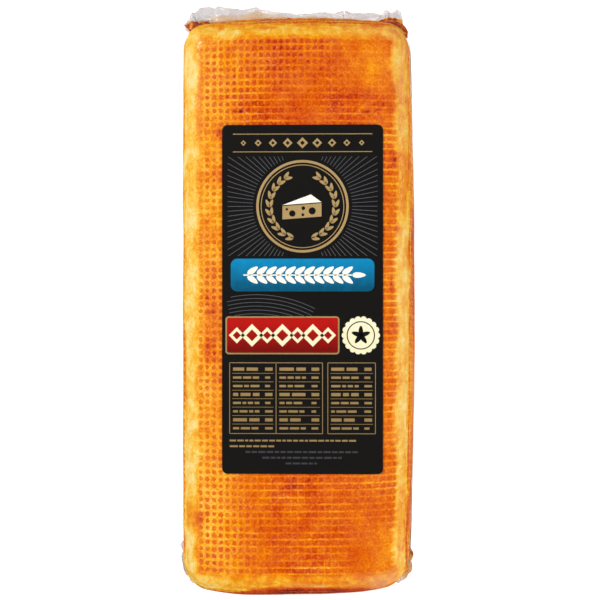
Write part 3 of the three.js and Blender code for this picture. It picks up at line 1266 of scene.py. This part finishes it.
@dataclass(frozen=True, kw_only=True)
class CrumpledFilm(SpareFilm):
    """The welded seam across the sealed end: two sheets, welded and crumpled together.

    The third number of its edge is how far out the whey reaches, as a share of the way to the edge.
    """

    # How high the sheets leave the wall, how far apart, and where they are welded, as a share of the way.
    height: float = 47 * MM
    spread: float = 9 * MM
    weld_at: float = 0.45
    layer: float = 0.25 * MM
    # How high the crumples are, how wide the pleats, and how far the free edge hangs.
    crumple: float = 0.4 * MM
    pleat: float = 3.1 * MM
    lean: float = 2.5 * MM
    steps: tuple[int, int] = (300, 28)
    # How far its middle humps up where the bag is gathered, and how deep it starts, as a share.
    hump: float = 0.0
    root: float = 0.15
    # How brown the whey is, how far from the wall its even part ends, in a dark line, and the size of
    # its streaks.
    whey: float = 0.25
    root_line: float = 3.4 * MM
    run: Sizes = (9 * MM, 0.9 * MM, 9 * MM)

    def build(self) -> None:
        """Makes both sheets as one piece."""
        both = bmesh.new()
        whey = []
        for side in (-1, 1):
            sheet, held = self.sheet(side)
            both.from_mesh(sheet)
            whey.append(held)
            bpy.data.meshes.remove(sheet)
        self.dress(to_mesh(both, self.name), np.concatenate(whey))

    def sheet(self, side: int) -> tuple[bpy.types.Mesh, np.ndarray]:
        """Makes one sheet, the upper for a side of 1 and the lower for -1.

        Args:
            side: which sheet.

        Returns:
            Its mesh, closed by its own thickness, and how much whey each vertex holds.
        """
        bm, u, w = self.flat_grid()
        edge = np.array(self.edge)
        measure = np.linspace(0, 1, len(edge))
        roots = np.array([self.form.wall((x * MM, y * MM), self.height) for x, y, _ in edge])
        root = np.stack([np.interp(u, measure, roots[:, axis]) for axis in range(2)], axis=1)
        rim = np.stack([np.interp(u, measure, edge[:, axis] * MM) for axis in range(2)], axis=1)
        share = w * (1 + self.root) - self.root
        points = np.zeros((len(u), 3))
        points[:, :2] = root + (rim - root) * share[:, None]

        # The sheets part towards the wall, and crumple more the further they stand off it.
        arch = np.sin(np.pi * np.clip(u, 0, 1)) ** 0.7 if self.hump else np.ones(len(u))
        apart = self.spread * np.clip(1 - w / self.weld_at, 0, 1) ** 1.6 * arch
        folds = ridges(points, (self.pleat, 3 * self.pleat, 1.0), self.seed) - 0.5
        waves = ripple(points, (3.5 * self.pleat, 5 * self.pleat, 1.0), self.seed + 2.7)
        small = ridges(points, (2.6 * MM, 3.4 * MM, 1.0), self.seed + 5.1 + side) - 0.5
        points[:, 2] = self.height + self.hump * arch + side * (apart + self.layer)
        points[:, 2] += self.crumple * (waves + 0.6 * folds + 0.08 * small) * smooth(w, 0.0, 0.6)
        points[:, 2] -= self.lean * w**2
        shifts = [ripple(points, (3 * MM, 3 * MM, 3 * MM), self.seed + more) for more in (7.3, 9.1)]
        for axis, shift in enumerate(shifts):
            points[:, axis] += 0.5 * MM * shift * w

        # Whey runs along the root and into the gathered ends, and clean film frays out at the edge.
        reach = np.interp(u, measure, edge[:, 2])
        runs = ripple(points, self.run, self.seed + 4.4)
        blots = ripple(points, (4 * MM, 3 * MM, 4 * MM), self.seed + 6.6)
        whey = smooth(share + 0.10 * blots, reach + 0.03, reach - 0.05) * self.whey * (0.85 + 0.7 * runs)
        out = np.linalg.norm(rim - root, axis=1) * share + 0.5 * MM * blots - self.root_line
        whey = np.maximum(whey, 0.72 * smooth(out, 0.2 * MM, -0.3 * MM))
        whey += 0.30 * smooth(np.abs(out - 0.5 * MM), 0.5 * MM, 0.1 * MM) * smooth(blots, -0.1, 0.3)
        whey += 0.16 * smooth(w, 0.94, 1.0)
        return self.close(bm, points, whey, f"{self.name}_sheet")


@dataclass(frozen=True, kw_only=True)
class GatheredFilm(CrumpledFilm):
    """An end of the seam, where the bag is gathered into a hump and dyed whey has browned it."""

    height: float = 48 * MM
    weld_at: float = 0.9
    crumple: float = 1.3 * MM
    pleat: float = 2.2 * MM
    lean: float = 1.5 * MM
    steps: tuple[int, int] = (110, 30)
    hump: float = 4 * MM
    root: float = 0.3
    whey: float = 0.96
    run: Sizes = (3 * MM, 1.6 * MM, 3 * MM)


@dataclass(frozen=True, kw_only=True)
class FoldedFlap(SpareFilm):
    """A corner of the bag, folded against an upright corner of the loaf, where it stands off in lobes.

    The third number of its edge is how much whey it holds.
    """

    bottom: float = 40 * MM
    top: float = 72 * MM
    # It is tallest this far along its outline, narrows to points on both walls, and rises along it.
    tallest: float = 0.62
    slope: float = 9 * MM
    # How deep its rims are tucked in, and how high its creases stand.
    tuck: float = 1.8 * MM
    crumple: float = 1.5 * MM
    steps: tuple[int, int] = (110, 80)

    def build(self) -> None:
        """Makes the flap."""
        bm, u, w = self.flat_grid()
        edge = np.array(self.edge)
        x, y, brown = (np.interp(u, np.linspace(0, 1, len(edge)), edge[:, i]) for i in range(3))
        u = np.clip(u, 0, 1)
        tall = np.minimum(u / self.tallest, (1 - u) / (1 - self.tallest)) ** 0.65
        height = (self.top + self.bottom) / 2 + (self.top - self.bottom) * (w - 0.5) * tall
        rim = np.stack((x * MM, y * MM, height), axis=1)
        rim[:, 2] += self.slope * (u - 0.5) + 5 * MM * ripple(rim, (7 * MM, 7 * MM, 30 * MM), self.seed)
        wall = np.array([self.form.wall((p[0], p[1]), p[2]) for p in rim])
        out = rim - wall
        reach = np.linalg.norm(out, axis=1)
        out /= reach[:, None]

        # It bellies out between its tucked rims, with upright and slanting creases.
        belly = np.clip(1 - np.abs(2 * w - 1) ** 2, 0, 1) ** 0.8
        folds = ridges(rim, (3 * MM, 3 * MM, 7 * MM), self.seed + 1.9)
        slant = ridges(rim + rim[:, [2, 2, 0]] * 0.8, (6 * MM, 6 * MM, 6 * MM), self.seed + 5.5)
        dents = self.crumple * (0.45 * (1 - folds) + 0.55 * (1 - slant))
        stand = (reach + self.tuck) * belly - self.tuck - dents * belly
        blots = ripple(rim, (4 * MM, 4 * MM, 7 * MM), self.seed + 3.3)
        whey = brown * (1 + 1.4 * blots) + 0.25 * (1 - folds) * (brown > 0.2)
        self.dress(*self.close(bm, wall + out * stand[:, None], whey, self.name))


# The label and its print


@dataclass(frozen=True)
class CoatedPaper:
    """Pressure-sensitive label stock, printed solid black and varnished satin."""

    black: str = "#141312"
    worn: str = "#181716"
    # The size of the coating's faint tooth.
    tooth: float = 0.6 * MM

    def material(self) -> bpy.types.Material:
        """Builds the finish: near black, with the faint tooth of coated paper.

        Returns:
            The material.
        """
        nodes = FinishNodes("black_coated_paper")
        tooth = nodes.add("TexNoise", nodes.place, named={"Scale": 1 / self.tooth, "Detail": 2.0})
        relief = {"Strength": 0.15, "Distance": 0.05 * MM, "Height": tooth}
        surface = {
            "Base Color": nodes.add("ValToRGB", tooth, stops=((0.3, self.black), (0.8, self.worn))),
            "Roughness": 0.45,
            "Specular IOR Level": 0.05,
            "Normal": nodes.add("Bump", named=relief),
        }
        return nodes.dress(nodes.add("BsdfPrincipled", named=surface))


@dataclass(frozen=True)
class FlexoInk:
    """Flexographic ink on coated paper: flat and opaque, a little uneven, shading along the label."""

    piece: str
    slot: str
    colour: str
    shade: str
    # Where it has its colour and where its shade, in mm up from the label's middle.
    fade: Pair
    # The size of the cloudy patches of a printed solid.
    cloud: float = 2.5 * MM

    def material(self, middle: float) -> bpy.types.Material:
        """Builds the finish: the ink's colour, which fades along Y with the fine cloud of a printed solid.

        Args:
            middle: where the label's middle is along Y.

        Returns:
            The material.
        """
        nodes = FinishNodes(f"flexo_ink_{self.piece}")
        add = nodes.add
        along = add("SeparateXYZ", nodes.place, out="Y")
        faded = add("MapRange", along, *(middle + end * MM for end in self.fade))
        cloud = add("TexNoise", nodes.place, named={"Scale": 1 / self.cloud, "Detail": 4.0})
        spread = add("Math", cloud, 0.5, -0.25, operation="MULTIPLY_ADD")
        laid = add("Math", faded, spread, operation="ADD", use_clamp=True)
        inks = {MIX_FIRST: linear(self.colour), MIX_SECOND: linear(self.shade)}
        colour = add("Mix", laid, named=inks, out=MIXED, data_type="RGBA")
        surface = {"Base Color": colour, "Roughness": 0.4, "Specular IOR Level": 0.1}
        return nodes.dress(add("BsdfPrincipled", named=surface))


class Ink(Enum):
    """The label's inks."""

    GOLD = FlexoInk("print_gold", "label_gold", "#ad9160", "#93784a", (40, -60))
    RED = FlexoInk("print_red", "label_red", "#b3140f", "#720c08", (-11, -24))
    BLUE = FlexoInk("print_blue", "label_blue", "#0b86b8", "#05506f", (19, 5))
    CREAM = FlexoInk("print_cream", "label_cream", "#f6f3e6", "#efe6bd", (10, -16))
    GREY = FlexoInk("print_grey", "label_grey", "#56585d", "#3a3b3f", (0, -80))
    BLACK = FlexoInk("print_black", "label_black", "#141312", "#181716", (0, -80))


@dataclass
class LabelPrint:
    """Generic print on the black label: a medallion, two panels, a token, a table and small dashes.

    All sizes are in mm, and places are measured from the label's middle. Layer 1 of the ink lies on
    the paper, and higher ones lie on other inks.
    """

    middle: Vector
    top: float
    # How far each layer of ink stands above the paper, and how deep every plate reaches.
    layer: float = 0.02
    plate: float = 0.08
    # How wide a frame's line and the finer lines of the pictures are.
    hairline: float = 0.32
    fine_line: float = 0.26
    meshes: dict = field(default_factory=lambda: defaultdict(bmesh.new))

    def level(self, layer: int, place: Pair, turn: float = 0) -> Matrix:
        """Where a flat shape of ink goes: its layer, its place and its turn in degrees."""
        spot = Matrix.Translation(Vector((*place, layer * self.layer)))
        return spot @ Matrix.Rotation(math.radians(turn), 4, "Z")

    def shape(self, ink: Ink, layer: int, sides: int, radius: float, place: Pair, turn: float = 0) -> list:
        """Lays a regular shape of ink.

        Args:
            ink: which ink.
            layer: its layer.
            sides: how many sides the shape has.
            radius: out to its corners.
            place: its middle.
            turn: how far it is turned, in degrees.

        Returns:
            Its vertices.
        """
        matrix = self.level(layer, place, turn)
        made = bmesh.ops.create_circle(
            self.meshes[ink], cap_ends=True, segments=sides, radius=radius, matrix=matrix
        )
        return made["verts"]

    def bar(self, ink: Ink, layer: int, size: Pair, place: Pair, turn: float = 0) -> None:
        """Lays a rectangle of ink.

        Args:
            ink: which ink.
            layer: its layer.
            size: its width and height before it is turned.
            place: its middle.
            turn: how far it is turned, in degrees.
        """
        matrix = self.level(layer, place, turn) @ Matrix.Diagonal((size[0], size[1], 1, 1))
        bmesh.ops.create_grid(self.meshes[ink], x_segments=1, y_segments=1, size=0.5, matrix=matrix)

    def pill(self, ink: Ink, layer: int, size: Pair, place: Pair, radius: float) -> None:
        """Lays a rectangle of ink with rounded corners.

        Args:
            ink: which ink.
            layer: its layer.
            size: its width and height.
            place: its middle.
            radius: its corners' radius.
        """
        for vertex in self.shape(ink, layer, 32, radius, place, 180 / 32):
            for axis in range(2):
                vertex.co[axis] += math.copysign(size[axis] / 2 - radius, vertex.co[axis] - place[axis])

    def ring(self, ink: Ink, layer: int, sides: int, radii: Pair, place: Pair) -> None:
        """Lays a round outline of ink.

        Args:
            ink: which ink.
            layer: its layer.
            sides: how many sides it has.
            radii: out to its inner and outer edges.
            place: its middle.
        """
        bm = self.meshes[ink]
        matrix = self.level(layer, place)
        edges = []
        for radius in radii:
            verts = bmesh.ops.create_circle(bm, segments=sides, radius=radius, matrix=matrix)["verts"]
            edges += {edge for vertex in verts for edge in vertex.link_edges}
        bmesh.ops.bridge_loops(bm, edges=edges)

    def leaf(self, ink: Ink, layer: int, size: Pair, place: Pair, turn: float) -> None:
        """Lays a leaf of ink that narrows to its tip.

        Args:
            ink: which ink.
            layer: its layer.
            size: its length and width.
            place: where its stalk is.
            turn: which way it points, in degrees.
        """
        spin = Matrix.Rotation(math.radians(turn), 2)
        for vertex in self.shape(ink, layer, 12, 0.5, place):
            along = vertex.co.x - place[0] + 0.5
            across = (vertex.co.y - place[1]) * (1.3 - 0.6 * along)
            moved = spin @ Vector((along * size[0], across * size[1]))
            vertex.co.x = place[0] + moved.x
            vertex.co.y = place[1] + moved.y

    def dashes(self, ink: Ink, place: Pair, length: float, height: float, seed: int) -> None:
        """Lays a row of dashes that stand for a line of print.

        Args:
            ink: which ink.
            place: its left end.
            length: its length.
            height: the dashes' height.
            seed: what settles the dashes' lengths.
        """
        draw = np.random.default_rng(seed)
        start = place[0]
        while start < place[0] + length - height:
            run = min(draw.uniform(1.6, 4.6) * height, place[0] + length - start)
            self.bar(ink, 1, (run, height), (start + run / 2, place[1]))
            start += run + 0.75 * height

    def build(self) -> None:
        """Lays all the print and makes one piece of each ink."""
        self.draw_crest()
        self.draw_medallion()
        self.draw_blue_panel()
        self.draw_furrows()
        self.draw_red_plaque()
        self.draw_token()
        self.draw_tables()
        self.draw_small_print()
        for ink, bm in self.meshes.items():
            bm.normal_update()
            for face in bm.faces:
                if face.normal.z < 0:
                    face.normal_flip()
            bmesh.ops.solidify(bm, geom=bm.faces[:], thickness=self.plate)
            bmesh.ops.recalc_face_normals(bm, faces=bm.faces[:])
            bmesh.ops.scale(bm, verts=bm.verts, vec=(MM, MM, MM))
            bmesh.ops.translate(bm, verts=bm.verts, vec=(self.middle.x, self.middle.y, self.top))
            mesh = to_mesh(bm, ink.value.piece, soft=False)
            add_piece(mesh, ink.value.material(self.middle.y), ink.value.slot)

    def draw_crest(self) -> None:
        """Lays a row of diamonds between rules, at the label's top."""
        y, rise, width, step = (74, 4.2, 66, 7)
        for side in (1, -1):
            self.bar(Ink.GOLD, 1, (width, self.hairline), (0, y + side * rise))
        for i in range(-4, 5):
            radius = 2.6 - 0.32 * abs(i)
            self.shape(Ink.GOLD, 1, 4, radius, (i * step, y))
            self.shape(Ink.BLACK, 2, 4, radius * 0.45, (i * step, y))

    def draw_medallion(self) -> None:
        """Lays a round medallion with a wreath and a wedge of cheese, on fine rays."""
        middle = (0, 44)
        start, half_width, half_height, rays = (23.5, 35.5, 23.5, 96)
        for i in range(rays):
            angle = 2 * math.pi * i / rays
            across, up = (max(abs(part), 0.01) for part in (math.cos(angle), math.sin(angle)))
            end = min(half_width / across, half_height / up)
            if end > start + 1.5:
                spot = around(middle, (start + end) / 2, angle)
                self.bar(Ink.GREY, 1, (end - start, self.fine_line), spot, math.degrees(angle))
        for radii in ((20.7, 21.9), (19.4, 19.75)):
            self.ring(Ink.GOLD, 1, 96, radii, middle)
        for side in (-1, 1):
            for i in range(10):
                angle = math.radians(-90 + side * (16 + i * 14.5))
                stalk = around(middle, 15.6, angle)
                for lean in (-24, 24):
                    self.leaf(Ink.GOLD, 1, (4.0, 1.6), stalk, math.degrees(angle) + side * 90 + lean)
        self.draw_wedge(middle)

    def draw_wedge(self, place: Pair) -> None:
        """Lays a wedge of cheese seen from its side: a cream top, a gold cut face and its holes.

        Args:
            place: its middle.
        """
        x, y = place
        faces = {
            Ink.CREAM: ((-9.5, 0.6), (9.0, 2.0), (4.0, 5.6)),
            Ink.GOLD: ((-9.5, 0.1), (-9.5, -6.2), (9.0, -4.8), (9.0, 1.5)),
        }
        for ink, corners in faces.items():
            bm = self.meshes[ink]
            verts = [bm.verts.new((x + cx, y + cy, self.layer)) for cx, cy in corners]
            bmesh.ops.contextual_create(bm, geom=verts)
        holes = ((-4.8, -3.4, 1.5), (0.4, -0.9, 0.9), (4.6, -2.2, 1.7), (0.2, -4.0, 0.7), (-7.4, -1.4, 0.6))
        for hole_x, hole_y, radius in holes:
            self.shape(Ink.BLACK, 2, 20, radius, (x + hole_x, y + hole_y))

    def draw_blue_panel(self) -> None:
        """Lays a blue panel with a pale ear of wheat."""
        y, left, step, grains = (11.5, -26, 4.5, 11)
        self.pill(Ink.BLUE, 1, (68, 15.5), (0, y), 3.2)
        self.bar(Ink.CREAM, 2, (52, 0.6), (-2, y))
        for i in range(grains):
            for side in (-1, 1):
                self.leaf(Ink.CREAM, 2, (6.0, 2.6), (left + i * step, y + 0.4 * side), 36 * side)
        self.leaf(Ink.CREAM, 2, (6.5, 2.6), (left + grains * step, y), 0)

    def draw_furrows(self) -> None:
        """Lays fine arcs like ploughed fields, each a run of short bars."""
        half_width, low, high, turn = (35, -8.0, 2.6, math.radians(2.1))
        for i in range(10):
            radius = 46 + 1.8 * i
            for step in range(-16, 17):
                angle = math.radians(98) + step * turn
                spot = around((-22, -60), radius, angle)
                if abs(spot[0]) < half_width and low < spot[1] < high:
                    self.bar(Ink.GREY, 1, (radius * turn, self.fine_line), spot, math.degrees(angle) - 90)

    def draw_red_plaque(self) -> None:
        """Lays a red plaque with a gold border and a chain of pale lozenges."""
        x, y, width, height, border = (-9.5, -17, 54, 18, 0.7)
        self.pill(Ink.GOLD, 1, (width, height), (x, y), 1.6)
        self.pill(Ink.RED, 2, (width - 2 * border, height - 2 * border), (x, y), 1.0)
        for i in range(-3, 4):
            radius = 3.8 if i % 2 else 5.4
            self.shape(Ink.CREAM, 3, 4, radius, (x + i * 7.2, y))
            self.shape(Ink.RED, 4, 4, radius * 0.52, (x + i * 7.2, y))

    def draw_token(self) -> None:
        """Lays a scalloped token of pale ink with a ring and a flower in it."""
        middle, scallops = ((27.6, -17), 18)
        for i in range(scallops):
            self.shape(Ink.CREAM, 1, 14, 1.5, around(middle, 7.6, 2 * math.pi * i / scallops))
        self.shape(Ink.CREAM, 2, 48, 7.9, middle)
        self.ring(Ink.BLACK, 3, 48, (6.2, 6.7), middle)
        for i in range(5):
            self.leaf(Ink.BLACK, 3, (4.6, 2.2), middle, 90 + 72 * i)

    def draw_tables(self) -> None:
        """Lays two framed tables of dashes."""
        top, bottom, rows, row_step = (-30, -63.5, 8, 4.0)
        margin, figures = (1.6, 3.6)
        for left, right, columns in ((-34.5, 9.5, 2), (12, 34.5, 1)):
            for y in (top, bottom):
                self.bar(Ink.GOLD, 1, (right - left, self.hairline), ((left + right) / 2, y))
            width = (right - left) / columns
            for line in range(columns + 1):
                place = (left + line * width, (top + bottom) / 2)
                self.bar(Ink.GOLD, 1, (self.hairline, top - bottom), place)
            for column, row in itertools.product(range(columns), range(rows)):
                start = left + column * width
                y = top - 3.0 - row * row_step
                height = 1.5 if row % 3 == 0 else 1.05
                seed = 100 * columns + 10 * row + column
                self.dashes(Ink.GOLD, (start + margin, y), width - 9.5, height, seed)
                last = (start + width - margin - figures, y)
                self.dashes(Ink.GOLD, last, figures, height, seed + 500)
                if row < rows - 1:
                    self.bar(Ink.GOLD, 1, (width - 2.4, 0.2), (start + width / 2, y - row_step / 2))

    def draw_small_print(self) -> None:
        """Lays rows of small dashes at the label's foot."""
        top, step, height = (-66.8, 2.7, 0.85)
        for i, (left, length) in enumerate(((-34.5, 60), (-34.5, 22), (-27, 54), (-19, 38), (-8, 16))):
            self.dashes(Ink.GOLD if i < 2 else Ink.GREY, (left, top - i * step), length, height, 200 + i)


# The room


@dataclass(frozen=True)
class SoftBox:
    """A studio light: where it stands, how large it is, and how bright its face looks.

    A wide one only lights the surfaces, and a narrow strip only gives them their shine.
    """

    name: str
    place: Sizes
    size: Pair
    radiance: float
    shine: bool = False

    def build(self) -> None:
        """Makes the light and turns it to the loaf."""
        light = bpy.data.lights.new(self.name, "AREA")
        light.shape = "RECTANGLE"
        light.size, light.size_y = self.size
        light.energy = self.radiance * math.pi * self.size[0] * self.size[1]
        lamp = bpy.data.objects.new(self.name, light)
        lamp.location = self.place
        lamp.rotation_euler = (Vector((0, 0, 0.05)) - lamp.location).to_track_quat("-Z", "Y").to_euler()
        lamp.visible_glossy = self.shine
        lamp.visible_diffuse = not self.shine
        bpy.context.scene.collection.objects.link(lamp)


@dataclass(frozen=True)
class Studio:
    """A pale lit table, soft light, and a camera that looks almost straight down on the label."""

    camera_place: Sizes = (60 * MM, 4.4 * MM, 1300 * MM)
    aim: Sizes = (-0.9 * MM, 4.4 * MM, 38 * MM)
    # The lens in mm on a 36 mm wide sensor, from the photo's scale at that distance.
    lens: float = 154.2
    sensor: float = 36.0
    table: str = "#b4b4b4"
    table_glow: float = 0.84
    # Half the table's width, and how far its face lies under the loaf.
    table_half: float = 3.0
    table_gap: float = 0.3 * MM
    # How bright the air is from straight below, at 0, to the horizon, at a half, to overhead, at 1.
    air: tuple[tuple[float, str], ...] = (
        (0.0, "#d0d0d0"),
        (1.0, "#3c3c3c"),
        (0.06, "#444444"),
        (0.42, "#444444"),
        (0.54, "#989898"),
        (0.62, "#989898"),
        (0.85, "#444444"),
    )
    boxes: tuple[SoftBox, ...] = (
        SoftBox("key_light", (-0.85, 0.50, 1.25), (1.2, 1.2), 4.5),
        SoftBox("fill_light", (0.80, -0.60, 1.25), (1.2, 1.2), 4.2),
        SoftBox("key_shine", (-0.66, 0.56, 1.05), (0.60, 0.26), 14.0, shine=True),
        SoftBox("fill_shine", (1.15, 0.05, 0.30), (0.8, 0.06), 7.0, shine=True),
        SoftBox("shine_front_right", (0.70, -1.00, 0.50), (0.14, 0.46), 3.0, shine=True),
        SoftBox("shine_front_left", (-0.70, -1.00, 0.50), (0.14, 0.46), 3.0, shine=True),
        SoftBox("shine_back_right", (0.70, 1.00, 0.50), (0.14, 0.46), 3.0, shine=True),
        SoftBox("shine_back_left", (-0.70, 1.00, 0.50), (0.14, 0.46), 3.0, shine=True),
    )

    def build(self) -> None:
        """Makes the room."""
        self.build_table()
        self.build_camera()
        self.build_air()
        for box in self.boxes:
            box.build()
        bpy.context.scene.view_settings.view_transform = "Standard"

    def build_air(self) -> None:
        """Makes the air: dim overhead, so that nothing shines in the label, and bright at the horizon."""
        nodes = ShaderNodes(bpy.data.worlds.new("studio_air"))
        rise = nodes.add("SeparateXYZ", nodes.add("TexCoord", out="Generated"), out="Z")
        height = nodes.add("MapRange", rise, -1.0, 1.0)
        colour = nodes.add("ValToRGB", height, stops=self.air)
        bpy.context.scene.world = nodes.dress(nodes.add("Background", colour, 1.0), "OutputWorld")

    def build_table(self) -> None:
        """Makes the pale lit table that the loaf lies on, which the film doesn't mirror."""
        bm = bmesh.new()
        bmesh.ops.create_grid(bm, x_segments=1, y_segments=1, size=self.table_half)
        bmesh.ops.translate(bm, verts=bm.verts, vec=(0, 0, -self.table_gap))
        mesh = to_mesh(bm, "table")
        nodes = ShaderNodes(bpy.data.materials.new("opal_acrylic_table"))
        surface = {
            "Base Color": linear(self.table),
            "Roughness": 0.6,
            "Specular IOR Level": 0.2,
            "Emission Color": (1, 1, 1, 1),
            "Emission Strength": self.table_glow,
        }
        mesh.materials.append(nodes.dress(nodes.add("BsdfPrincipled", named=surface)))
        table = bpy.data.objects.new("table", mesh)
        table.visible_glossy = False
        bpy.context.scene.collection.objects.link(table)

    def build_camera(self) -> None:
        """Makes the camera, with the picture's top towards the sealed end."""
        data = bpy.data.cameras.new("camera")
        data.lens = self.lens
        data.sensor_width = self.sensor
        camera = bpy.data.objects.new("camera", data)
        place = Vector(self.camera_place)
        forward = (Vector(self.aim) - place).normalized()
        right = forward.cross(Vector((0, 1, 0))).normalized()
        up = right.cross(forward)
        turn = Matrix((right, up, -forward)).transposed()
        camera.matrix_world = Matrix.Translation(place) @ turn.to_4x4()
        bpy.context.scene.collection.objects.link(camera)
        bpy.context.scene.camera = camera


# Dye on the upper face that is more or less than its surroundings': x, y, reach across and along, all
# in mm, and the dye that it adds.
DYE_PATCHES = (
    (-39, 64, 7, 14, 0.08), (-41, -20, 4, 8, 0.16), (-43, 6, 3, 4, 0.14), (-39, -8, 7, 34, 0.14),
    (-38, 40, 8, 10, -0.04), (10, 114, 28, 10, 0.07), (8, 97, 22, 6, 0.05), (-8, -93, 14, 11, -0.10),
    (6, -122, 15, 4, -0.12), (14, -117, 13, 9, -0.06), (26, -132, 16, 3, 0.06), (26, -126, 8, 4, -0.08),
    (-6, -127, 8, 4, -0.08), (34, 116, 14, 14, -0.12), (44, -112, 9, 12, -0.12), (-49, -100, 5, 9, 0.30),
    (-50, 66, 3, 12, 0.10), (-51, -12, 3, 24, 0.04), (-49, 118, 7, 12, -0.20), (-50, 37, 5, 12, -0.06),
    (-50, -47, 5, 10, 0.06), (30, 100, 8, 3, 0.12), (-46, -72, 5, 8, -0.10), (50, 62, 4, 26, 0.13),
    (50, -28, 4, 10, 0.12), (50, -98, 4, 18, 0.18), (50, -114, 4, 8, 0.12), (50, 97, 4, 9, 0.07),
    (-33, 131, 7, 4, -0.08),
    # Specks and dashes.
    (28.5, 95.5, 1.7, 1.1, 0.32), (33, 93.2, 2.2, 1.0, 0.34), (38.5, 94.4, 2.0, 1.3, 0.34),
    (41, 97, 1.3, 1.6, 0.26), (-28.5, 93.8, 4.2, 0.9, 0.30), (-37, 83.2, 1.7, 3.0, 0.30),
    (-41, -1.6, 3.6, 1.4, 0.30), (-36.5, -33, 1.6, 3.4, 0.22), (46, 70, 1.5, 4.0, 0.28),
    (47.5, 38, 1.4, 3.0, 0.30), (45, 12, 1.3, 4.6, 0.26), (47, -60, 1.2, 5.0, 0.22),
)

# Outlines of the spare film, seen from above: x and y in mm, and a share for the whey there.
SEAM_EDGE = (
    (-54.2, 134.6, 0.9), (-57.0, 137.0, 0.9), (-56.8, 139.7, 0.8), (-54.9, 141.9, 0.7), (-53.6, 145.3, 0.6),
    (-52.4, 144.8, 0.6), (-49.7, 147.5, 0.5), (-45.5, 148.1, 0.5), (-42.4, 147.1, 0.6), (-40.8, 148.0, 0.6),
    (-35.2, 147.3, 0.6), (-28.3, 146.4, 0.7), (-22.0, 147.9, 0.8), (-19.0, 146.5, 0.8), (-9.2, 144.8, 0.8),
    (-1.9, 144.1, 0.3), (5.9, 144.6, 0.8), (11.8, 145.2, 0.5), (16.2, 144.2, 0.5), (20.6, 146.0, 0.3),
    (21.0, 143.4, 0.4), (21.5, 145.7, 0.3), (24.5, 144.6, 0.4), (37.6, 144.4, 0.4), (39.3, 143.6, 0.6),
    (41.4, 146.5, 0.5), (44.4, 144.7, 0.6), (46.6, 146.5, 0.5), (49.2, 142.4, 0.8), (49.9, 139.0, 0.9),
    (51.9, 135.6, 0.9), (52.0, 132.4, 0.9),
)
LEFT_GATHER_EDGE = (
    (-53.8, 135.2, 0.9), (-54.6, 136.0, 1.0), (-56.0, 137.2, 1.0), (-56.9, 138.4, 1.0),
    (-55.4, 139.9, 0.9), (-54.4, 141.9, 0.75), (-53.3, 144.2, 0.55), (-52.0, 142.0, 0.8),
    (-50.5, 140.9, 0.9), (-47.6, 141.6, 0.9), (-44.0, 140.9, 0.8), (-41.0, 140.2, 0.8),
)
RIGHT_GATHER_EDGE = (
    (35.5, 140.6, 0.7), (37.7, 141.0, 0.8), (40.1, 142.8, 0.7), (41.7, 145.8, 0.5), (43.4, 143.9, 0.7),
    (45.4, 144.2, 0.6), (46.9, 145.4, 0.5), (48.9, 143.9, 0.6), (49.7, 141.4, 0.9), (49.9, 138.4, 1.0),
    (51.2, 136.6, 1.0), (52.4, 134.6, 1.0), (52.0, 132.6, 1.0), (51.2, 131.6, 1.0),
)
LEFT_EAR_EDGE = (
    (-56.2, -112.0, 0.16), (-58.1, -112.7, 0.16), (-58.9, -114.4, 0.16), (-58.2, -116.3, 0.2),
    (-57.0, -117.0, 0.2), (-58.0, -118.0, 0.16), (-57.6, -121.7, 0.16), (-56.8, -126.0, 0.14),
    (-55.2, -129.9, 0.14), (-52.7, -133.0, 0.12),
)
RIGHT_EAR_EDGE = (
    (54.1, -116.8, 0.4), (55.3, -118.2, 0.6), (55.0, -120.1, 0.45), (54.0, -122.1, 0.3), (54.9, -124.5, 0.5),
    (53.9, -127.3, 0.4), (51.2, -130.4, 0.2), (48.2, -133.2, 0.12),
)


def main() -> None:
    """Builds the object, piece by piece, and then its room."""
    logging.basicConfig(level=logging.INFO, format="%(message)s")
    form = LoafForm()
    Cheese(form, AnnattoRind()).build()
    BagSkin(form, BarrierFilm()).build()
    welded = WeldedFilm()
    CrumpledFilm(form=form, film=welded, name="film_seam", edge=SEAM_EDGE, seed=2.0).build()
    gathers = (("film_gather_left", LEFT_GATHER_EDGE, 22.0), ("film_gather_right", RIGHT_GATHER_EDGE, 31.0))
    for name, edge, seed in gathers:
        GatheredFilm(form=form, film=welded, name=name, edge=edge, seed=seed).build()
    folded = WeldedFilm(hiding=(0.11, 0.70), facet_shade=0.18, name="folded_barrier_film")
    ears = (("film_ear_left", LEFT_EAR_EDGE, 12.0), ("film_ear_right", RIGHT_EAR_EDGE, 17.0))
    for name, edge, seed in ears:
        FoldedFlap(form=form, film=folded, name=name, edge=edge, seed=seed).build()
    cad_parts[LABEL].material_slots[0].material = CoatedPaper().material()
    low, high = (Vector(corner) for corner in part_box(LABEL))
    LabelPrint((low + high) / 2, high.z).build()
    Studio().build()


if __name__ == "__main__":
    main()
